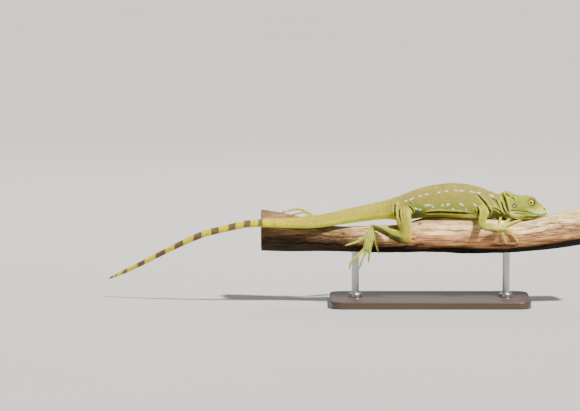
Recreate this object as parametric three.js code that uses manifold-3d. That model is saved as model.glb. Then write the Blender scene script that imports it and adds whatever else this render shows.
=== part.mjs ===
// A green basilisk at life size, lying along a cut length of branch on a plain display stand.
// Millimetres, +Z up. The lizard faces +X and its left side is +Y.
// The origin is the middle of the base's underside.

import * as THREE from "three";
import { mergeVertices } from "three/addons/utils/BufferGeometryUtils.js";
import Module from "manifold-3d";

const wasm = await Module();
wasm.setup();

const GAP = 0.3;
const RIGHT = -1;
const LEFT = 1;
const DEGREE = Math.PI / 180;

// Stand
const BASE = { long: 220, wide: 104, thick: 8, corner: 14, bevel: 1.2 };
const ROD = { radius: 4, collarRadius: 8, collarThick: 4, sides: 16, at: { rear: -82, front: 84 } };

// The branch's axis and radius: x, y, z, radius
const BRANCH = [
  [-186, 16.5, 80, 23],
  [-158, 14.5, 78, 21],
  [-126, 9, 74, 16.5],
  [-106, 3.5, 71.5, 14],
  [-66, 0, 71.9, 15.3],
  [-30, 0, 72.6, 16],
  [-4, 0, 77, 19.6],
  [50, 0, 75.4, 19.5],
  [66, 0, 76.2, 19.4],
  [82, 0, 74.9, 18.4],
  [99, 0, 74.6, 17.8],
  [143, 0.5, 82, 20.6],
  [178, 3, 87.6, 20.2],
];
const BRANCH_SIDES = 18;
const BRANCH_STEP = 14.5;
const KNOT = { x: -10, angle: -41, radius: 6.5, height: 2.6 };

// The body from the nape to the tip of the tail: x, y, z, half width, height above, depth below
const BODY = [
  [84, 0, 107.2, 10.2, 12.4, 12],
  [70, 0, 107.5, 11.6, 15.9, 13.2],
  [55, 0, 107.5, 14, 21.2, 14],
  [33, 0, 107.8, 16, 25, 13],
  [11, 0, 108, 16.5, 24.1, 12],
  [-11, 0, 107.5, 15, 19.6, 12.6],
  [-33, 0, 105.5, 12.6, 13.1, 13],
  [-50, 0, 103.7, 9.9, 9.9, 10.2],
  [-88, -1.8, 97.6, 7.7, 8.2, 8.2],
  [-126, -8.8, 91.8, 6.4, 6.8, 6.8],
  [-158, -10.6, 90.5, 5.3, 5.3, 5.3],
  [-198, -9, 89.9, 4.3, 4.4, 4.4],
  [-231, -3, 82.3, 3.8, 4, 4],
  [-248, 2.6, 77.6, 3.6, 3.9, 3.9],
  [-276, 13, 64.4, 3.1, 3.4, 3.4],
  [-329, 41, 35, 2.4, 2.8, 2.8],
  [-347, 52, 25.6, 2, 2.3, 2.3],
  [-357, 59, 20.6, 0.8, 0.8, 0.8],
];
const BACK_POWER = 1.12;
const BELLY_POWER = 0.86;

// Where the body is parted: name, front, back, spacing of the rings, sides
const BODY_NODES = [
  ["neck", 78.7, 64, 4, 24],
  ["chest", 64, 30, 4.8, 24],
  ["belly", 30, -12, 5, 24],
  ["pelvis", -12, -44, 4.6, 24],
  ["tail_1", -44, -100, 8, 16],
  ["tail_2", -100, -160, 8, 14],
  ["tail_3", -160, -220, 9, 14],
  ["tail_4", -220, -288, 9, 12],
  ["tail_5", -288, -357, 8, 10],
];

// The low saw-tooth crest along the back and the root of the tail
const CREST = { front: 76, back: -170, pitch: 3.6, long: 3.5, wide: 1.4, high: 1.1, sunk: 1.1, lean: 20 };

// The head's sections: x, then z or half width and z of crown, brow, cheek, mouth, jaw and chin
const HEAD = [
  [129.2, 104, 1.3, 103.8, 1.6, 102.6, 1.5, 101.2, 1, 100.3, 100.1],
  [128, 105.6, 2.5, 105, 3.1, 103, 3, 100.6, 2.1, 99, 98.8],
  [124, 109.4, 4.3, 108.2, 5.3, 103.5, 5.3, 98.9, 3.8, 97.1, 97],
  [119.5, 112.8, 5.8, 111.2, 6.9, 104.8, 6.9, 99.2, 5.4, 95.9, 95.2],
  [114, 117.1, 7.6, 115.4, 8.4, 106.2, 8.4, 100.4, 6.8, 95.1, 93.8],
  [109, 119.8, 8.6, 118.1, 9.5, 107.2, 9.4, 102.2, 7.8, 94.9, 93.1],
  [104, 120.4, 8.4, 118.1, 10.7, 107.7, 10.5, 103.6, 8.9, 95.6, 93.4],
  [92, 119.8, 7.8, 116.4, 12.8, 108, 12, 102.6, 9.9, 96.7, 94.8],
  [78, 119.6, 7.6, 115.6, 10.9, 107.5, 10.4, 102.2, 7.9, 97, 95.4],
];
const LIP = { full: 0.5, rise: 1.3 };
const HEAD_RINGS = [
  ...[129.2, 128.6, 127.3, 125.6, 123.2, 120.2, 117, 113.8, 110.6],
  ...[107.4, 104, 100.4, 96.5, 92.5, 88, 83.5, 79],
];
const HEAD_SIDES = 32;
const MOUTH_CORNER = 98.5;
const JAW_HINGE = { x: 92.6, z: 90, bend: 95.4, bendZ: 101.6 };
const EYE = { x: 111, y: 5.4, z: 113.2, radius: 4.9, lid: 0.6, halfLong: 3.5, halfHigh: 3.1 };
const EAR = { x: 92.3, y: 13.6, z: 109.8, radius: 2.4 };
const NOSTRIL = { x: 125.6, y: 3.9, z: 105.5, radius: 1 };

// The low crest on the back of the head, in outline: it rises from the crown and hangs over the nape
const CASQUE = {
  rise: [[101, 118.4], [97, 120.6], [88.5, 123.1], [84.4, 124.8], [80.6, 124.6]],
  overhang: [[77.6, 122.9], [78.4, 120.6], [84, 115.5], [92, 114.5]],
  thick: 2,
  bevel: 0.6,
};

// Half widths along each length of a leg, and its thickness for its width
const UPPER_ARM = { widths: [7.6, 6.8, 5, 4.3], flat: 0.9 };
const FOREARM = { widths: [4.4, 4.9, 4.5, 4], flat: 0.92 };
const THIGH = { widths: [9.4, 8.9, 7.9, 6.5], flat: 0.84 };
const SHIN = { widths: [5.6, 6.3, 4.7, 3.5], flat: 0.88 };

// Where each length of a leg starts and ends, and how far it bows outwards
const LIMBS = {
  upper_arm_right: { from: [59, -6, 109], to: [55.6, -35.4, 90.8], bow: 2.5, ...UPPER_ARM },
  forearm_right: { from: [56.4, -36, 89.8], to: [73.8, -23, 85.4], bow: 1.5, ...FOREARM },
  upper_arm_left: { from: [59, 6, 109], to: [46.4, 34.6, 92.4], bow: 2.5, ...UPPER_ARM },
  forearm_left: { from: [46.4, 35.4, 91.6], to: [65, 23, 85.4], bow: 1.5, ...FOREARM },
  thigh_right: { from: [-31.4, -4, 106.5], to: [-26.8, -37.4, 75.8], bow: 4.5, ...THIGH },
  shin_right: { from: [-26.2, -38.4, 74.6], to: [-62.6, -16, 87.8], bow: 0.5, ...SHIN },
  thigh_left: { from: [-30, 4, 106.5], to: [-60, 30, 100], bow: 2, ...THIGH },
  shin_left: { from: [-61, 31, 99.6], to: [-99.4, 13.6, 93.4], bow: 1, ...SHIN },
};
const LIMB_SIDES = 12;
const LIMB_RINGS = 6;

// Hands grip the bark. Wrist and palm: x, angle down from the top of the branch, height over the bark.
const PALM = { widths: [3.7, 4.3, 4.6, 3.5], flat: 0.52, reach: 3.2 };
const HANDS = {
  hand_right: { side: RIGHT, wrist: [72.4, 59, 4.8], palm: [78, 58, 2.5] },
  hand_left: { side: LEFT, wrist: [63.8, 60, 4.8], palm: [69.4, 59, 2.5] },
};
// Fingers from the inner to the outer: root's x from the palm and angle, tip's x and angle, late turn
const FINGERS = [
  [-2.4, 51, -0.2, 11, 1],
  [1.6, 52, 11.6, 10, 1],
  [2.8, 55, 22.6, 17, 1],
  [2.4, 60, 18.8, 104, 2],
  [-2.2, 62, 5, 106, 1.2],
];

// Feet: the sole's ends, and each toe's root, bend and tip from the inner to the outer
const SOLE = { widths: [3.3, 4, 4.8, 4.5], flat: 0.46 };
const FEET = {
  foot_right: {
    facing: [0, -1, 0.1],
    sole: { from: [-63.6, -16.4, 87.6], to: [-70.2, -21.2, 61.2], ...SOLE, bow: 2.2 },
    toes: [
      [[-62.4, -19.4, 80], [-59.8, -18.8, 69], [-57.4, -17.8, 60.4]],
      [[-65.8, -20.9, 64.6], [-67.2, -20.9, 56], [-67.7, -19.6, 50.8]],
      [[-69.4, -21.1, 62.8], [-74.4, -21.6, 52], [-77, -20, 44]],
      [[-72.4, -21.1, 63.6], [-81, -22, 54.8], [-87, -21.6, 49.4], [-88.2, -20, 43.6]],
      [[-67.4, -20.4, 80.8], [-73.6, -21.4, 75], [-82.4, -21.8, 70.6], [-92, -19.2, 67.2]],
    ],
  },
  foot_left: {
    facing: [0, 0.15, 1],
    sole: { from: [-98.8, 13.8, 93.6], to: [-126, 15, 95], ...SOLE, bow: 0.6 },
    toes: [
      [[-112, 10.4, 93.6], [-120, 5.8, 94], [-127.6, 3.6, 92]],
      [[-122, 11.4, 94.8], [-131, 7.8, 97], [-139.4, 5.8, 95.4]],
      [[-124.6, 13.4, 95], [-138, 10.4, 100.6], [-149.6, 9, 98]],
      [[-124.8, 16.2, 95], [-143, 14, 103.6], [-159.8, 12.6, 101]],
      [[-112, 18, 94], [-121, 23.6, 92.6], [-130, 27.6, 87.8]],
    ],
  },
};
const DIGIT = { root: 1.6, tip: 1.15, sides: 6, rings: 4 };
const CLAW = { long: 3, root: 0.9, tip: 0.2, drop: 1.4, sides: 4 };

const FINISH = {
  skin: { color: 0xa3ad55, roughness: 0.62, metalness: 0 },
  head: { color: 0x8fae4c, roughness: 0.6, metalness: 0 },
  tail: { color: 0x9a9a58, roughness: 0.62, metalness: 0 },
  eye: { color: 0xe2b84a, roughness: 0.12, metalness: 0 },
  bark: { color: 0xb08a6c, roughness: 0.85, metalness: 0 },
  board: { color: 0x2c2622, roughness: 0.45, metalness: 0 },
  rod: { color: 0x8d8f92, roughness: 0.35, metalness: 0.9 },
};

const vector = (values) => new THREE.Vector3(...values);

// A table's row at x, smooth between its rows. The first column is x and runs up or down.
function rowAt(table, x) {
  const last = table.length - 1;
  const up = table[last][0] > table[0][0];
  const passed = table.findIndex((row) => (up ? row[0] >= x : row[0] <= x));
  const i = THREE.MathUtils.clamp(passed < 0 ? last - 1 : passed - 1, 0, last - 1);
  const near = [i - 1, i, i + 1, i + 2].map((k) => table[THREE.MathUtils.clamp(k, 0, last)]);
  const [before, from, to, after] = near;
  const span = to[0] - from[0];
  const t = THREE.MathUtils.clamp((x - from[0]) / span, 0, 1);
  return from.map((value, column) => {
    if (column === 0) return x;
    const start = ((to[column] - before[column]) / (to[0] - before[0])) * span;
    const end = ((after[column] - value) / (after[0] - from[0])) * span;
    const rise = to[column] - value;
    return value + t * (start + t * (3 * rise - 2 * start - end + t * (start + end - 2 * rise)));
  });
}

// A closed solid from a three.js geometry
function solid(geometry) {
  const bare = geometry.clone();
  bare.deleteAttribute("normal");
  bare.deleteAttribute("uv");
  const merged = mergeVertices(bare, 1e-4);
  const corners = Array.from(merged.index.array);
  const kept = [];
  for (let i = 0; i < corners.length; i += 3) {
    const [a, b, c] = corners.slice(i, i + 3);
    if (a !== b && b !== c && c !== a) kept.push(a, b, c);
  }
  const vertProperties = merged.getAttribute("position").array;
  return new wasm.Manifold(new wasm.Mesh({ numProp: 3, vertProperties, triVerts: new Uint32Array(kept) }));
}

// A three.js geometry from a solid
function geometryOf(body) {
  const mesh = body.getMesh();
  const position = new Float32Array(mesh.numVert * 3);
  for (let i = 0; i < mesh.numVert; i++) {
    position.set(mesh.vertProperties.subarray(i * mesh.numProp, i * mesh.numProp + 3), i * 3);
  }
  const geometry = new THREE.BufferGeometry();
  geometry.setAttribute("position", new THREE.BufferAttribute(position, 3));
  geometry.setIndex(new THREE.BufferAttribute(new Uint32Array(mesh.triVerts), 1));
  geometry.computeVertexNormals();
  return geometry;
}

// The same solid with its surface moved out
function grown(body, distance) {
  const geometry = geometryOf(body);
  const position = geometry.getAttribute("position");
  const normal = geometry.getAttribute("normal");
  const point = new THREE.Vector3();
  const out = new THREE.Vector3();
  for (let i = 0; i < position.count; i++) {
    point.fromBufferAttribute(position, i);
    out.fromBufferAttribute(normal, i);
    point.addScaledVector(out, distance);
    position.setXYZ(i, point.x, point.y, point.z);
  }
  return solid(geometry);
}

const joined = (bodies) => bodies.reduce((all, body) => all.add(body));

const largest = (body) => body.decompose().reduce((a, b) => (b.volume() > a.volume() ? b : a));

const cutBy = (body, ...others) => largest(others.reduce((left, other) => left.subtract(other), body));

// A closed tube. place(ring, angle, reach) gives its points.
// reach is 0 in the middle of an end and 1 on the wall.
function tube(rings, sides, place) {
  const geometry = new THREE.CylinderGeometry(1, 1, 1, sides, rings - 1);
  const position = geometry.getAttribute("position");
  for (let i = 0; i < position.count; i++) {
    const across = position.getX(i);
    const out = position.getZ(i);
    const ring = Math.round((0.5 - position.getY(i)) * (rings - 1));
    const point = place(ring, Math.atan2(across, out), Math.round(Math.hypot(across, out)));
    position.setXYZ(i, point.x, point.y, point.z);
  }
  return solid(geometry);
}

function spread(from, to, spacing) {
  const count = Math.max(1, Math.round(Math.abs(to - from) / spacing));
  return Array.from({ length: count + 1 }, (_, i) => THREE.MathUtils.lerp(from, to, i / count));
}

// The branch's surface at an angle from its top, positive towards +Y, and a height over it
function onBranch(x, degrees, height) {
  const [, y, z, radius] = rowAt(BRANCH, x);
  const angle = degrees * DEGREE;
  const ripple = 0.022 * Math.sin(2 * angle + x / 31) + 0.016 * Math.sin(3 * angle - x / 17 + 1.4);
  const aroundKnot = (angle - KNOT.angle * DEGREE) * radius;
  const knot = KNOT.height * Math.exp(-((x - KNOT.x) ** 2 + aroundKnot ** 2) / KNOT.radius ** 2);
  const out = radius * (1 + ripple) + knot + height;
  return new THREE.Vector3(x, y + out * Math.sin(angle), z + out * Math.cos(angle));
}

function branchSolid(extra) {
  const places = spread(BRANCH[0][0], BRANCH[BRANCH.length - 1][0], BRANCH_STEP);
  const last = places.length - 1;
  return tube(places.length, BRANCH_SIDES, (ring, angle, reach) => {
    const [x, y, z] = rowAt(BRANCH, places[ring]);
    const point = reach === 0 ? new THREE.Vector3(x, y, z) : onBranch(x, angle / DEGREE, extra);
    if (ring === 0) point.x -= extra;
    if (ring === last) point.x += extra;
    return point;
  });
}

// The body's section at x: its middle, its sideways and upward directions, and its sizes
function bodySection(x) {
  const [, y, z, halfWidth, above, below] = rowAt(BODY, x);
  const [front, back] = [rowAt(BODY, x + 0.5), rowAt(BODY, x - 0.5)];
  const along = new THREE.Vector3(-1, back[1] - front[1], back[2] - front[2]).normalize();
  const side = new THREE.Vector3(0, 0, 1).cross(along).normalize();
  const top = along.clone().cross(side);
  return { middle: new THREE.Vector3(x, y, z), side, top, halfWidth, above, below };
}

function bodySolid(front, back, spacing, sides, extra) {
  const places = spread(front, back, spacing);
  return tube(places.length, sides, (ring, angle, reach) => {
    const { middle, side, top, halfWidth, above, below } = bodySection(places[ring]);
    const [across, rise] = [Math.sin(angle), Math.cos(angle)];
    const power = rise > 0 ? BACK_POWER : BELLY_POWER;
    const wide = reach * (halfWidth + extra) * Math.sign(across) * Math.abs(across) ** power;
    const high = reach * ((rise > 0 ? above : below) + extra) * rise;
    return middle.clone().addScaledVector(side, wide).addScaledVector(top, high);
  });
}

// The crest's teeth between two places, each leaning back and rooted in the body
function crestTeeth(front, back) {
  const teeth = [];
  for (let x = CREST.front; x > CREST.back; x -= CREST.pitch) {
    if (x > front - CREST.long / 2 || x < back + CREST.long / 2) continue;
    const { middle, top, above } = bodySection(x);
    const size = THREE.MathUtils.smoothstep(x, CREST.back - 40, 20) * (0.88 + 0.12 * Math.sin(x * 1.7));
    const tooth = new THREE.CylinderGeometry(0.12, 1, 1, 4);
    tooth.translate(0, 0.5, 0);
    tooth.scale(CREST.long / 2, CREST.high * size + CREST.sunk, CREST.wide / 2);
    tooth.rotateX(90 * DEGREE);
    tooth.rotateY(Math.atan2(top.x, top.z) - CREST.lean * DEGREE);
    const root = middle.clone().addScaledVector(top, above - CREST.sunk);
    tooth.translate(root.x, root.y, root.z);
    teeth.push(solid(tooth));
  }
  return teeth;
}

// The head's section at x, as a closed curve from the crown round by the right side and back
function headRing(x) {
  const [, crown, browY, browZ, cheekY, cheekZ, mouthY, mouthZ, jawY, jawZ, chin] = rowAt(HEAD, x);
  const share = THREE.MathUtils.smoothstep(HEAD[0][0] - x, 0, 4);
  const half = [
    [browY, browZ],
    [cheekY, cheekZ],
    [mouthY + LIP.full * share, mouthZ + LIP.rise * (0.4 + 0.6 * share)],
    [mouthY, mouthZ],
    [mouthY, mouthZ - LIP.rise * (0.3 + 0.6 * share)],
    [jawY, jawZ],
  ];
  const right = half.map(([y, z]) => new THREE.Vector3(x, RIGHT * y, z));
  const left = half.map(([y, z]) => new THREE.Vector3(x, LEFT * y, z)).reverse();
  const [top, bottom] = [new THREE.Vector3(x, 0, crown), new THREE.Vector3(x, 0, chin)];
  return new THREE.CatmullRomCurve3([top, ...right, bottom, ...left], true, "catmullrom", 0.5);
}

function headSolid() {
  const curves = HEAD_RINGS.map(headRing);
  return tube(HEAD_RINGS.length, HEAD_SIDES, (ring, angle, reach) => {
    const curve = curves[ring];
    if (reach === 0) return curve.getPoint(0).lerp(curve.getPoint(0.5), 0.5);
    const point = curve.getPoint(THREE.MathUtils.euclideanModulo(angle / (2 * Math.PI), 1));
    point.x = HEAD_RINGS[ring];
    return point;
  });
}

function ball({ x, y, z, radius }, side, sides = 14) {
  const geometry = new THREE.SphereGeometry(radius, sides, Math.round(sides * 0.64));
  geometry.translate(x, side * y, z);
  return solid(geometry);
}

function casqueSolid() {
  const outline = new THREE.Shape();
  const corners = [...CASQUE.rise, ...CASQUE.overhang].map(([x, z]) => new THREE.Vector2(x, z));
  outline.moveTo(corners[0].x, corners[0].y);
  outline.splineThru(corners.slice(1));
  const plate = new THREE.ExtrudeGeometry(outline, {
    depth: CASQUE.thick,
    bevelThickness: CASQUE.bevel,
    bevelSize: CASQUE.bevel,
    bevelOffset: -CASQUE.bevel,
    bevelSegments: 2,
    curveSegments: 2,
  });
  plate.rotateX(90 * DEGREE);
  plate.translate(0, CASQUE.thick / 2, 0);
  return solid(plate);
}

// The thin cut that parts the lower jaw from the head along the mouth and down behind its corner
function mouthCut() {
  const tip = HEAD[0][0];
  const points = spread(tip + 3, MOUTH_CORNER, 3).map((x) => {
    return new THREE.Vector2(x, rowAt(HEAD, Math.min(x, tip))[7]);
  });
  points.push(new THREE.Vector2(JAW_HINGE.bend, JAW_HINGE.bendZ));
  points.push(new THREE.Vector2(JAW_HINGE.x, JAW_HINGE.z));
  const shifted = (distance) =>
    points.map((point, i) => {
      const next = points[Math.min(i + 1, points.length - 1)];
      const along = next.clone().sub(points[Math.max(i - 1, 0)]).normalize();
      return new THREE.Vector2(point.x - along.y * distance, point.y + along.x * distance);
    });
  const band = new THREE.Shape([...shifted(GAP / 2), ...shifted(-GAP / 2).reverse()]);
  const slab = new THREE.ExtrudeGeometry(band, { depth: 40, bevelEnabled: false });
  slab.rotateX(90 * DEGREE);
  slab.translate(0, 20, 0);
  return solid(slab);
}

// The head with its crest, lids round the eyes, ear cups and nostrils, parted at the mouth
function headNodes(branch) {
  let skull = headSolid().add(casqueSolid());
  for (const side of [RIGHT, LEFT]) {
    const opening = new THREE.CylinderGeometry(1, 1, EYE.radius * 2, 16);
    opening.scale(EYE.halfLong, 1, EYE.halfHigh);
    opening.translate(EYE.x + 0.5, side * (EYE.y + EYE.radius), EYE.z);
    skull = skull
      .add(ball({ ...EYE, radius: EYE.radius + GAP + EYE.lid }, side))
      .subtract(ball({ ...EYE, radius: EYE.radius + GAP }, side))
      .subtract(solid(opening))
      .subtract(ball(EAR, side, 10))
      .subtract(ball(NOSTRIL, side, 6));
  }
  const pieces = skull.subtract(branch).subtract(mouthCut()).decompose();
  const middleZ = (piece) => piece.boundingBox().min[2] + piece.boundingBox().max[2];
  const [first, second] = pieces.sort((a, b) => b.volume() - a.volume());
  const [jaw, head] = [first, second].sort((a, b) => middleZ(a) - middleZ(b));
  return { head, lower_jaw: jaw };
}

// A round-ended, tapering solid along a curve. widths are half widths at even steps.
function tapered(curve, widths, flat, facing, sides, rings, ends) {
  const places = [0, 0.4 * ends, ...spread(ends, 1 - ends, (1 - 2 * ends) / rings), 1 - 0.4 * ends, 1];
  const rows = widths.map((width, i) => [i / (widths.length - 1), width]);
  return tube(places.length, sides, (ring, angle, reach) => {
    const t = places[ring];
    const along = curve.getTangent(t);
    const side = facing.clone().cross(along).normalize();
    const out = along.clone().cross(side);
    const inwards = 1 - Math.min(1, t / ends, (1 - t) / ends);
    const width = reach * rowAt(rows, t)[1] * (0.25 + 0.75 * Math.sqrt(1 - inwards ** 2));
    const point = curve.getPoint(t).addScaledVector(side, width * Math.sin(angle));
    return point.addScaledVector(out, width * flat * Math.cos(angle));
  });
}

function limbSolid({ from, to, widths, flat, bow }, facing, ends = 0.14) {
  const [start, end] = [vector(from), vector(to)];
  const middle = start.clone().lerp(end, 0.5).addScaledVector(facing, bow);
  const curve = new THREE.CatmullRomCurve3([start, middle, end]);
  return tapered(curve, widths, flat, facing, LIMB_SIDES, LIMB_RINGS, ends);
}

// A finger or toe through its points, with a claw that hooks down at its end
function digitSolid(points, facing) {
  const middle = (DIGIT.root + DIGIT.tip) / 2;
  const curve = new THREE.CatmullRomCurve3(points);
  const toe = tapered(curve, [DIGIT.root, middle, DIGIT.tip], 0.9, facing, DIGIT.sides, DIGIT.rings, 0.1);
  const end = curve.getPoint(1);
  const along = curve.getTangent(1);
  const hook = [-1.2, 0.4 * CLAW.long, CLAW.long].map((reach, i) => {
    return end.clone().addScaledVector(along, reach).addScaledVector(facing, (-CLAW.drop * i * i) / 4);
  });
  const clawSizes = [CLAW.root, CLAW.root * 0.8, CLAW.tip];
  const claw = tube(hook.length, CLAW.sides, (ring, angle, reach) => {
    const side = facing.clone().cross(along).normalize();
    const size = clawSizes[ring] * reach;
    return hook[ring]
      .clone()
      .addScaledVector(side, size * Math.sin(angle))
      .addScaledVector(facing, size * Math.cos(angle));
  });
  return toe.add(claw);
}

// A hand whose palm and fingers follow the bark
function handSolid({ side, wrist, palm }) {
  const at = (x, angle, height) => onBranch(x, side * angle, height);
  const outward = (x, angle) => at(x, angle, 1).sub(at(x, angle, 0)).normalize();
  const palmX = palm[0];
  const end = at(palmX + PALM.reach, palm[1], palm[2] - 0.4);
  const curve = new THREE.CatmullRomCurve3([at(...wrist), at(...palm), end]);
  const facing = outward(palmX, palm[1]);
  const pieces = [tapered(curve, PALM.widths, PALM.flat, facing, 10, 5, 0.16)];
  for (const [rootX, rootAngle, tipX, tipAngle, late] of FINGERS) {
    const points = [0, 0.35, 0.7, 1].map((share) => {
      const x = palmX + THREE.MathUtils.lerp(rootX, tipX, share);
      const angle = THREE.MathUtils.lerp(rootAngle, tipAngle, share ** late);
      return at(x, angle, 1.9 + 1.3 * Math.sin(Math.PI * share) - 0.6 * share);
    });
    pieces.push(digitSolid(points, outward(palmX + tipX, tipAngle)));
  }
  return joined(pieces);
}

function footSolid({ facing, sole, toes }) {
  const out = vector(facing).normalize();
  const pieces = toes.map((points) => digitSolid(points.map(vector), out));
  return joined([limbSolid(sole, out, 0.1), ...pieces]);
}

// Each leg's three lengths, clear of the trunk, of one another, of the branch and of the jaw
function legNodes(upper, lower, end, endSolid, side, trunk, jaw, branch) {
  const upperSolid = limbSolid(LIMBS[upper], new THREE.Vector3(0, side, 0.7).normalize());
  const lowerSolid = limbSolid(LIMBS[lower], new THREE.Vector3(0, side, 0.5).normalize());
  return {
    [upper]: cutBy(upperSolid, trunk, branch),
    [lower]: cutBy(lowerSolid, grown(upperSolid, GAP), branch),
    [end]: cutBy(endSolid, grown(lowerSolid, GAP), branch, jaw, trunk),
  };
}

function baseSolid() {
  const [long, wide] = [BASE.long / 2 - BASE.bevel, BASE.wide / 2 - BASE.bevel];
  const outline = new THREE.Shape();
  outline.moveTo(-long + BASE.corner, -wide);
  outline.absarc(long - BASE.corner, -wide + BASE.corner, BASE.corner, -90 * DEGREE, 0);
  outline.absarc(long - BASE.corner, wide - BASE.corner, BASE.corner, 0, 90 * DEGREE);
  outline.absarc(-long + BASE.corner, wide - BASE.corner, BASE.corner, 90 * DEGREE, 180 * DEGREE);
  outline.absarc(-long + BASE.corner, -wide + BASE.corner, BASE.corner, 180 * DEGREE, 270 * DEGREE);
  const plate = new THREE.ExtrudeGeometry(outline, {
    depth: BASE.thick - 2 * BASE.bevel,
    bevelThickness: BASE.bevel,
    bevelSize: BASE.bevel,
    bevelSegments: 1,
    curveSegments: 5,
  });
  plate.translate(0, 0, BASE.bevel);
  return solid(plate);
}

// A rod with a collar at its foot, cut to the branch that it holds
function rodSolid(x, branch) {
  const [, y, z] = rowAt(BRANCH, x);
  const foot = BASE.thick + GAP;
  const profile = [
    [0, foot],
    [ROD.collarRadius, foot],
    [ROD.collarRadius, foot + ROD.collarThick - 1],
    [ROD.collarRadius - 1, foot + ROD.collarThick],
    [ROD.radius, foot + ROD.collarThick],
    [ROD.radius, z],
    [0, z],
  ].map(([radius, height]) => new THREE.Vector2(radius, height));
  const rod = new THREE.LatheGeometry(profile, ROD.sides);
  rod.rotateX(90 * DEGREE);
  rod.translate(x, y, 0);
  return cutBy(solid(rod), branch);
}

function build() {
  const branch = branchSolid(GAP);
  const trunk = bodySolid(82, -100, 4.6, 24, GAP);
  const nodes = headNodes(branch);
  const head = grown(nodes.head, GAP);
  const jaw = grown(nodes.lower_jaw, GAP);
  for (const [name, front, back, spacing, sides] of BODY_NODES) {
    const plain = bodySolid(front - GAP / 2, back + GAP / 2, spacing, sides, 0);
    nodes[name] = cutBy(joined([plain, ...crestTeeth(front, back)]), branch);
  }
  nodes.neck = cutBy(nodes.neck, head);
  nodes.eye_right = ball(EYE, RIGHT);
  nodes.eye_left = ball(EYE, LEFT);
  for (const [hand, side] of [["right", RIGHT], ["left", LEFT]]) {
    const [arm, fore, palm] = ["upper_arm_", "forearm_", "hand_"].map((part) => part + hand);
    const [thigh, shin, foot] = ["thigh_", "shin_", "foot_"].map((part) => part + hand);
    Object.assign(nodes, legNodes(arm, fore, palm, handSolid(HANDS[palm]), side, trunk, jaw, branch));
    Object.assign(nodes, legNodes(thigh, shin, foot, footSolid(FEET[foot]), side, trunk, jaw, branch));
  }
  nodes.branch = branchSolid(0);
  nodes.stand_base = baseSolid();
  nodes.stand_rod_rear = rodSolid(ROD.at.rear, branch);
  nodes.stand_rod_front = rodSolid(ROD.at.front, branch);
  return nodes;
}

function finishOf(name) {
  if (name.startsWith("eye")) return FINISH.eye;
  if (name === "head" || name === "lower_jaw") return FINISH.head;
  if (name.startsWith("tail")) return FINISH.tail;
  if (name === "branch") return FINISH.bark;
  if (name === "stand_base") return FINISH.board;
  if (name.startsWith("stand_rod")) return FINISH.rod;
  return FINISH.skin;
}

const basilisk = new THREE.Group();
for (const [name, body] of Object.entries(build())) {
  const mesh = new THREE.Mesh(geometryOf(body), new THREE.MeshStandardMaterial(finishOf(name)));
  mesh.name = name;
  basilisk.add(mesh);
}

export default basilisk;
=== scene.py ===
import math

import bmesh
import bpy
import numpy as np
from bpy.props import FloatProperty, FloatVectorProperty, IntProperty, PointerProperty
from mathutils import Matrix, Vector
from mathutils.bvhtree import BVHTree
from mathutils.kdtree import KDTree


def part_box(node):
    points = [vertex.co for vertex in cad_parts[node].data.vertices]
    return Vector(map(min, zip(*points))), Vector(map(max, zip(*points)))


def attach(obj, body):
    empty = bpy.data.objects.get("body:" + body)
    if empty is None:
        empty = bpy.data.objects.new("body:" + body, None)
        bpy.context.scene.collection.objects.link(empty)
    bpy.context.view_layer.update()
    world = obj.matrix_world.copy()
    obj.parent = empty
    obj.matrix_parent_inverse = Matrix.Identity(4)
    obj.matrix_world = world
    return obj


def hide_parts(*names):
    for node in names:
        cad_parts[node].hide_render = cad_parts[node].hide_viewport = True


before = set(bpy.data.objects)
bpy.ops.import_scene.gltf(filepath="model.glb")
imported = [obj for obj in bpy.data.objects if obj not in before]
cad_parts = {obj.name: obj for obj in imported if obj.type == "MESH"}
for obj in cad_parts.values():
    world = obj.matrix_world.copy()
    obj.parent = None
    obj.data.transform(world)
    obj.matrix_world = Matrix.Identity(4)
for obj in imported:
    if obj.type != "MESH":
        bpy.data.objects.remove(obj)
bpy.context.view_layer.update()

bl_info = {
    "name": "Green basilisk on a branch",
    "version": (1, 0, 0),
    "blender": (4, 5, 0),
    "location": "View3D > Sidebar > Basilisk",
    "description": "A life-size green basilisk lying along a cut branch on a display stand",
    "category": "Add Mesh",
}

MM = 0.001
TRUNK = ("neck", "chest", "belly", "pelvis", "tail_1", "tail_2", "tail_3", "tail_4", "tail_5")
HEAD = ("head", "lower_jaw")
ARM = ("upper_arm_", "forearm_", "hand_")
LEG = ("thigh_", "shin_", "foot_")
SIDES = {"right": -1.0, "left": 1.0}
LIMBS = tuple(part + side for side in SIDES for part in ARM + LEG)
PAWS = tuple(part + side for side in SIDES for part in ("hand_", "foot_"))
FLESH = HEAD + TRUNK + LIMBS
# How far out from its solid the skin lies before it is smoothed, which closes the gaps between solids
SEAM = 0.25 * MM
# What each length of a leg grows from, for the way its scales lie
ROOT_OF = {"upper_arm_": "chest", "forearm_": "upper_arm_", "hand_": "forearm_",
           "thigh_": "pelvis", "shin_": "thigh_", "foot_": "shin_"}
# Creases at the joints that are smoothed over: place, reach, passes
SOFT_JOINTS = (
    ((-30, -12, 106), 15, 60), ((58, -13, 105), 13, 50), ((56, -35, 90), 6, 20), ((76, -22, 86), 6, 8),
    ((-26, -38, 75), 7, 18), ((-63, -17, 87), 6, 12), ((-30, 12, 106), 15, 60), ((58, 13, 105), 13, 50),
    ((46, 35, 92), 6, 20), ((65, 23, 85), 6, 8), ((-60, 30, 100), 8, 24), ((-99, 14, 93), 6, 12),
    ((78, 0, 106), 7, 6),
)
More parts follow.
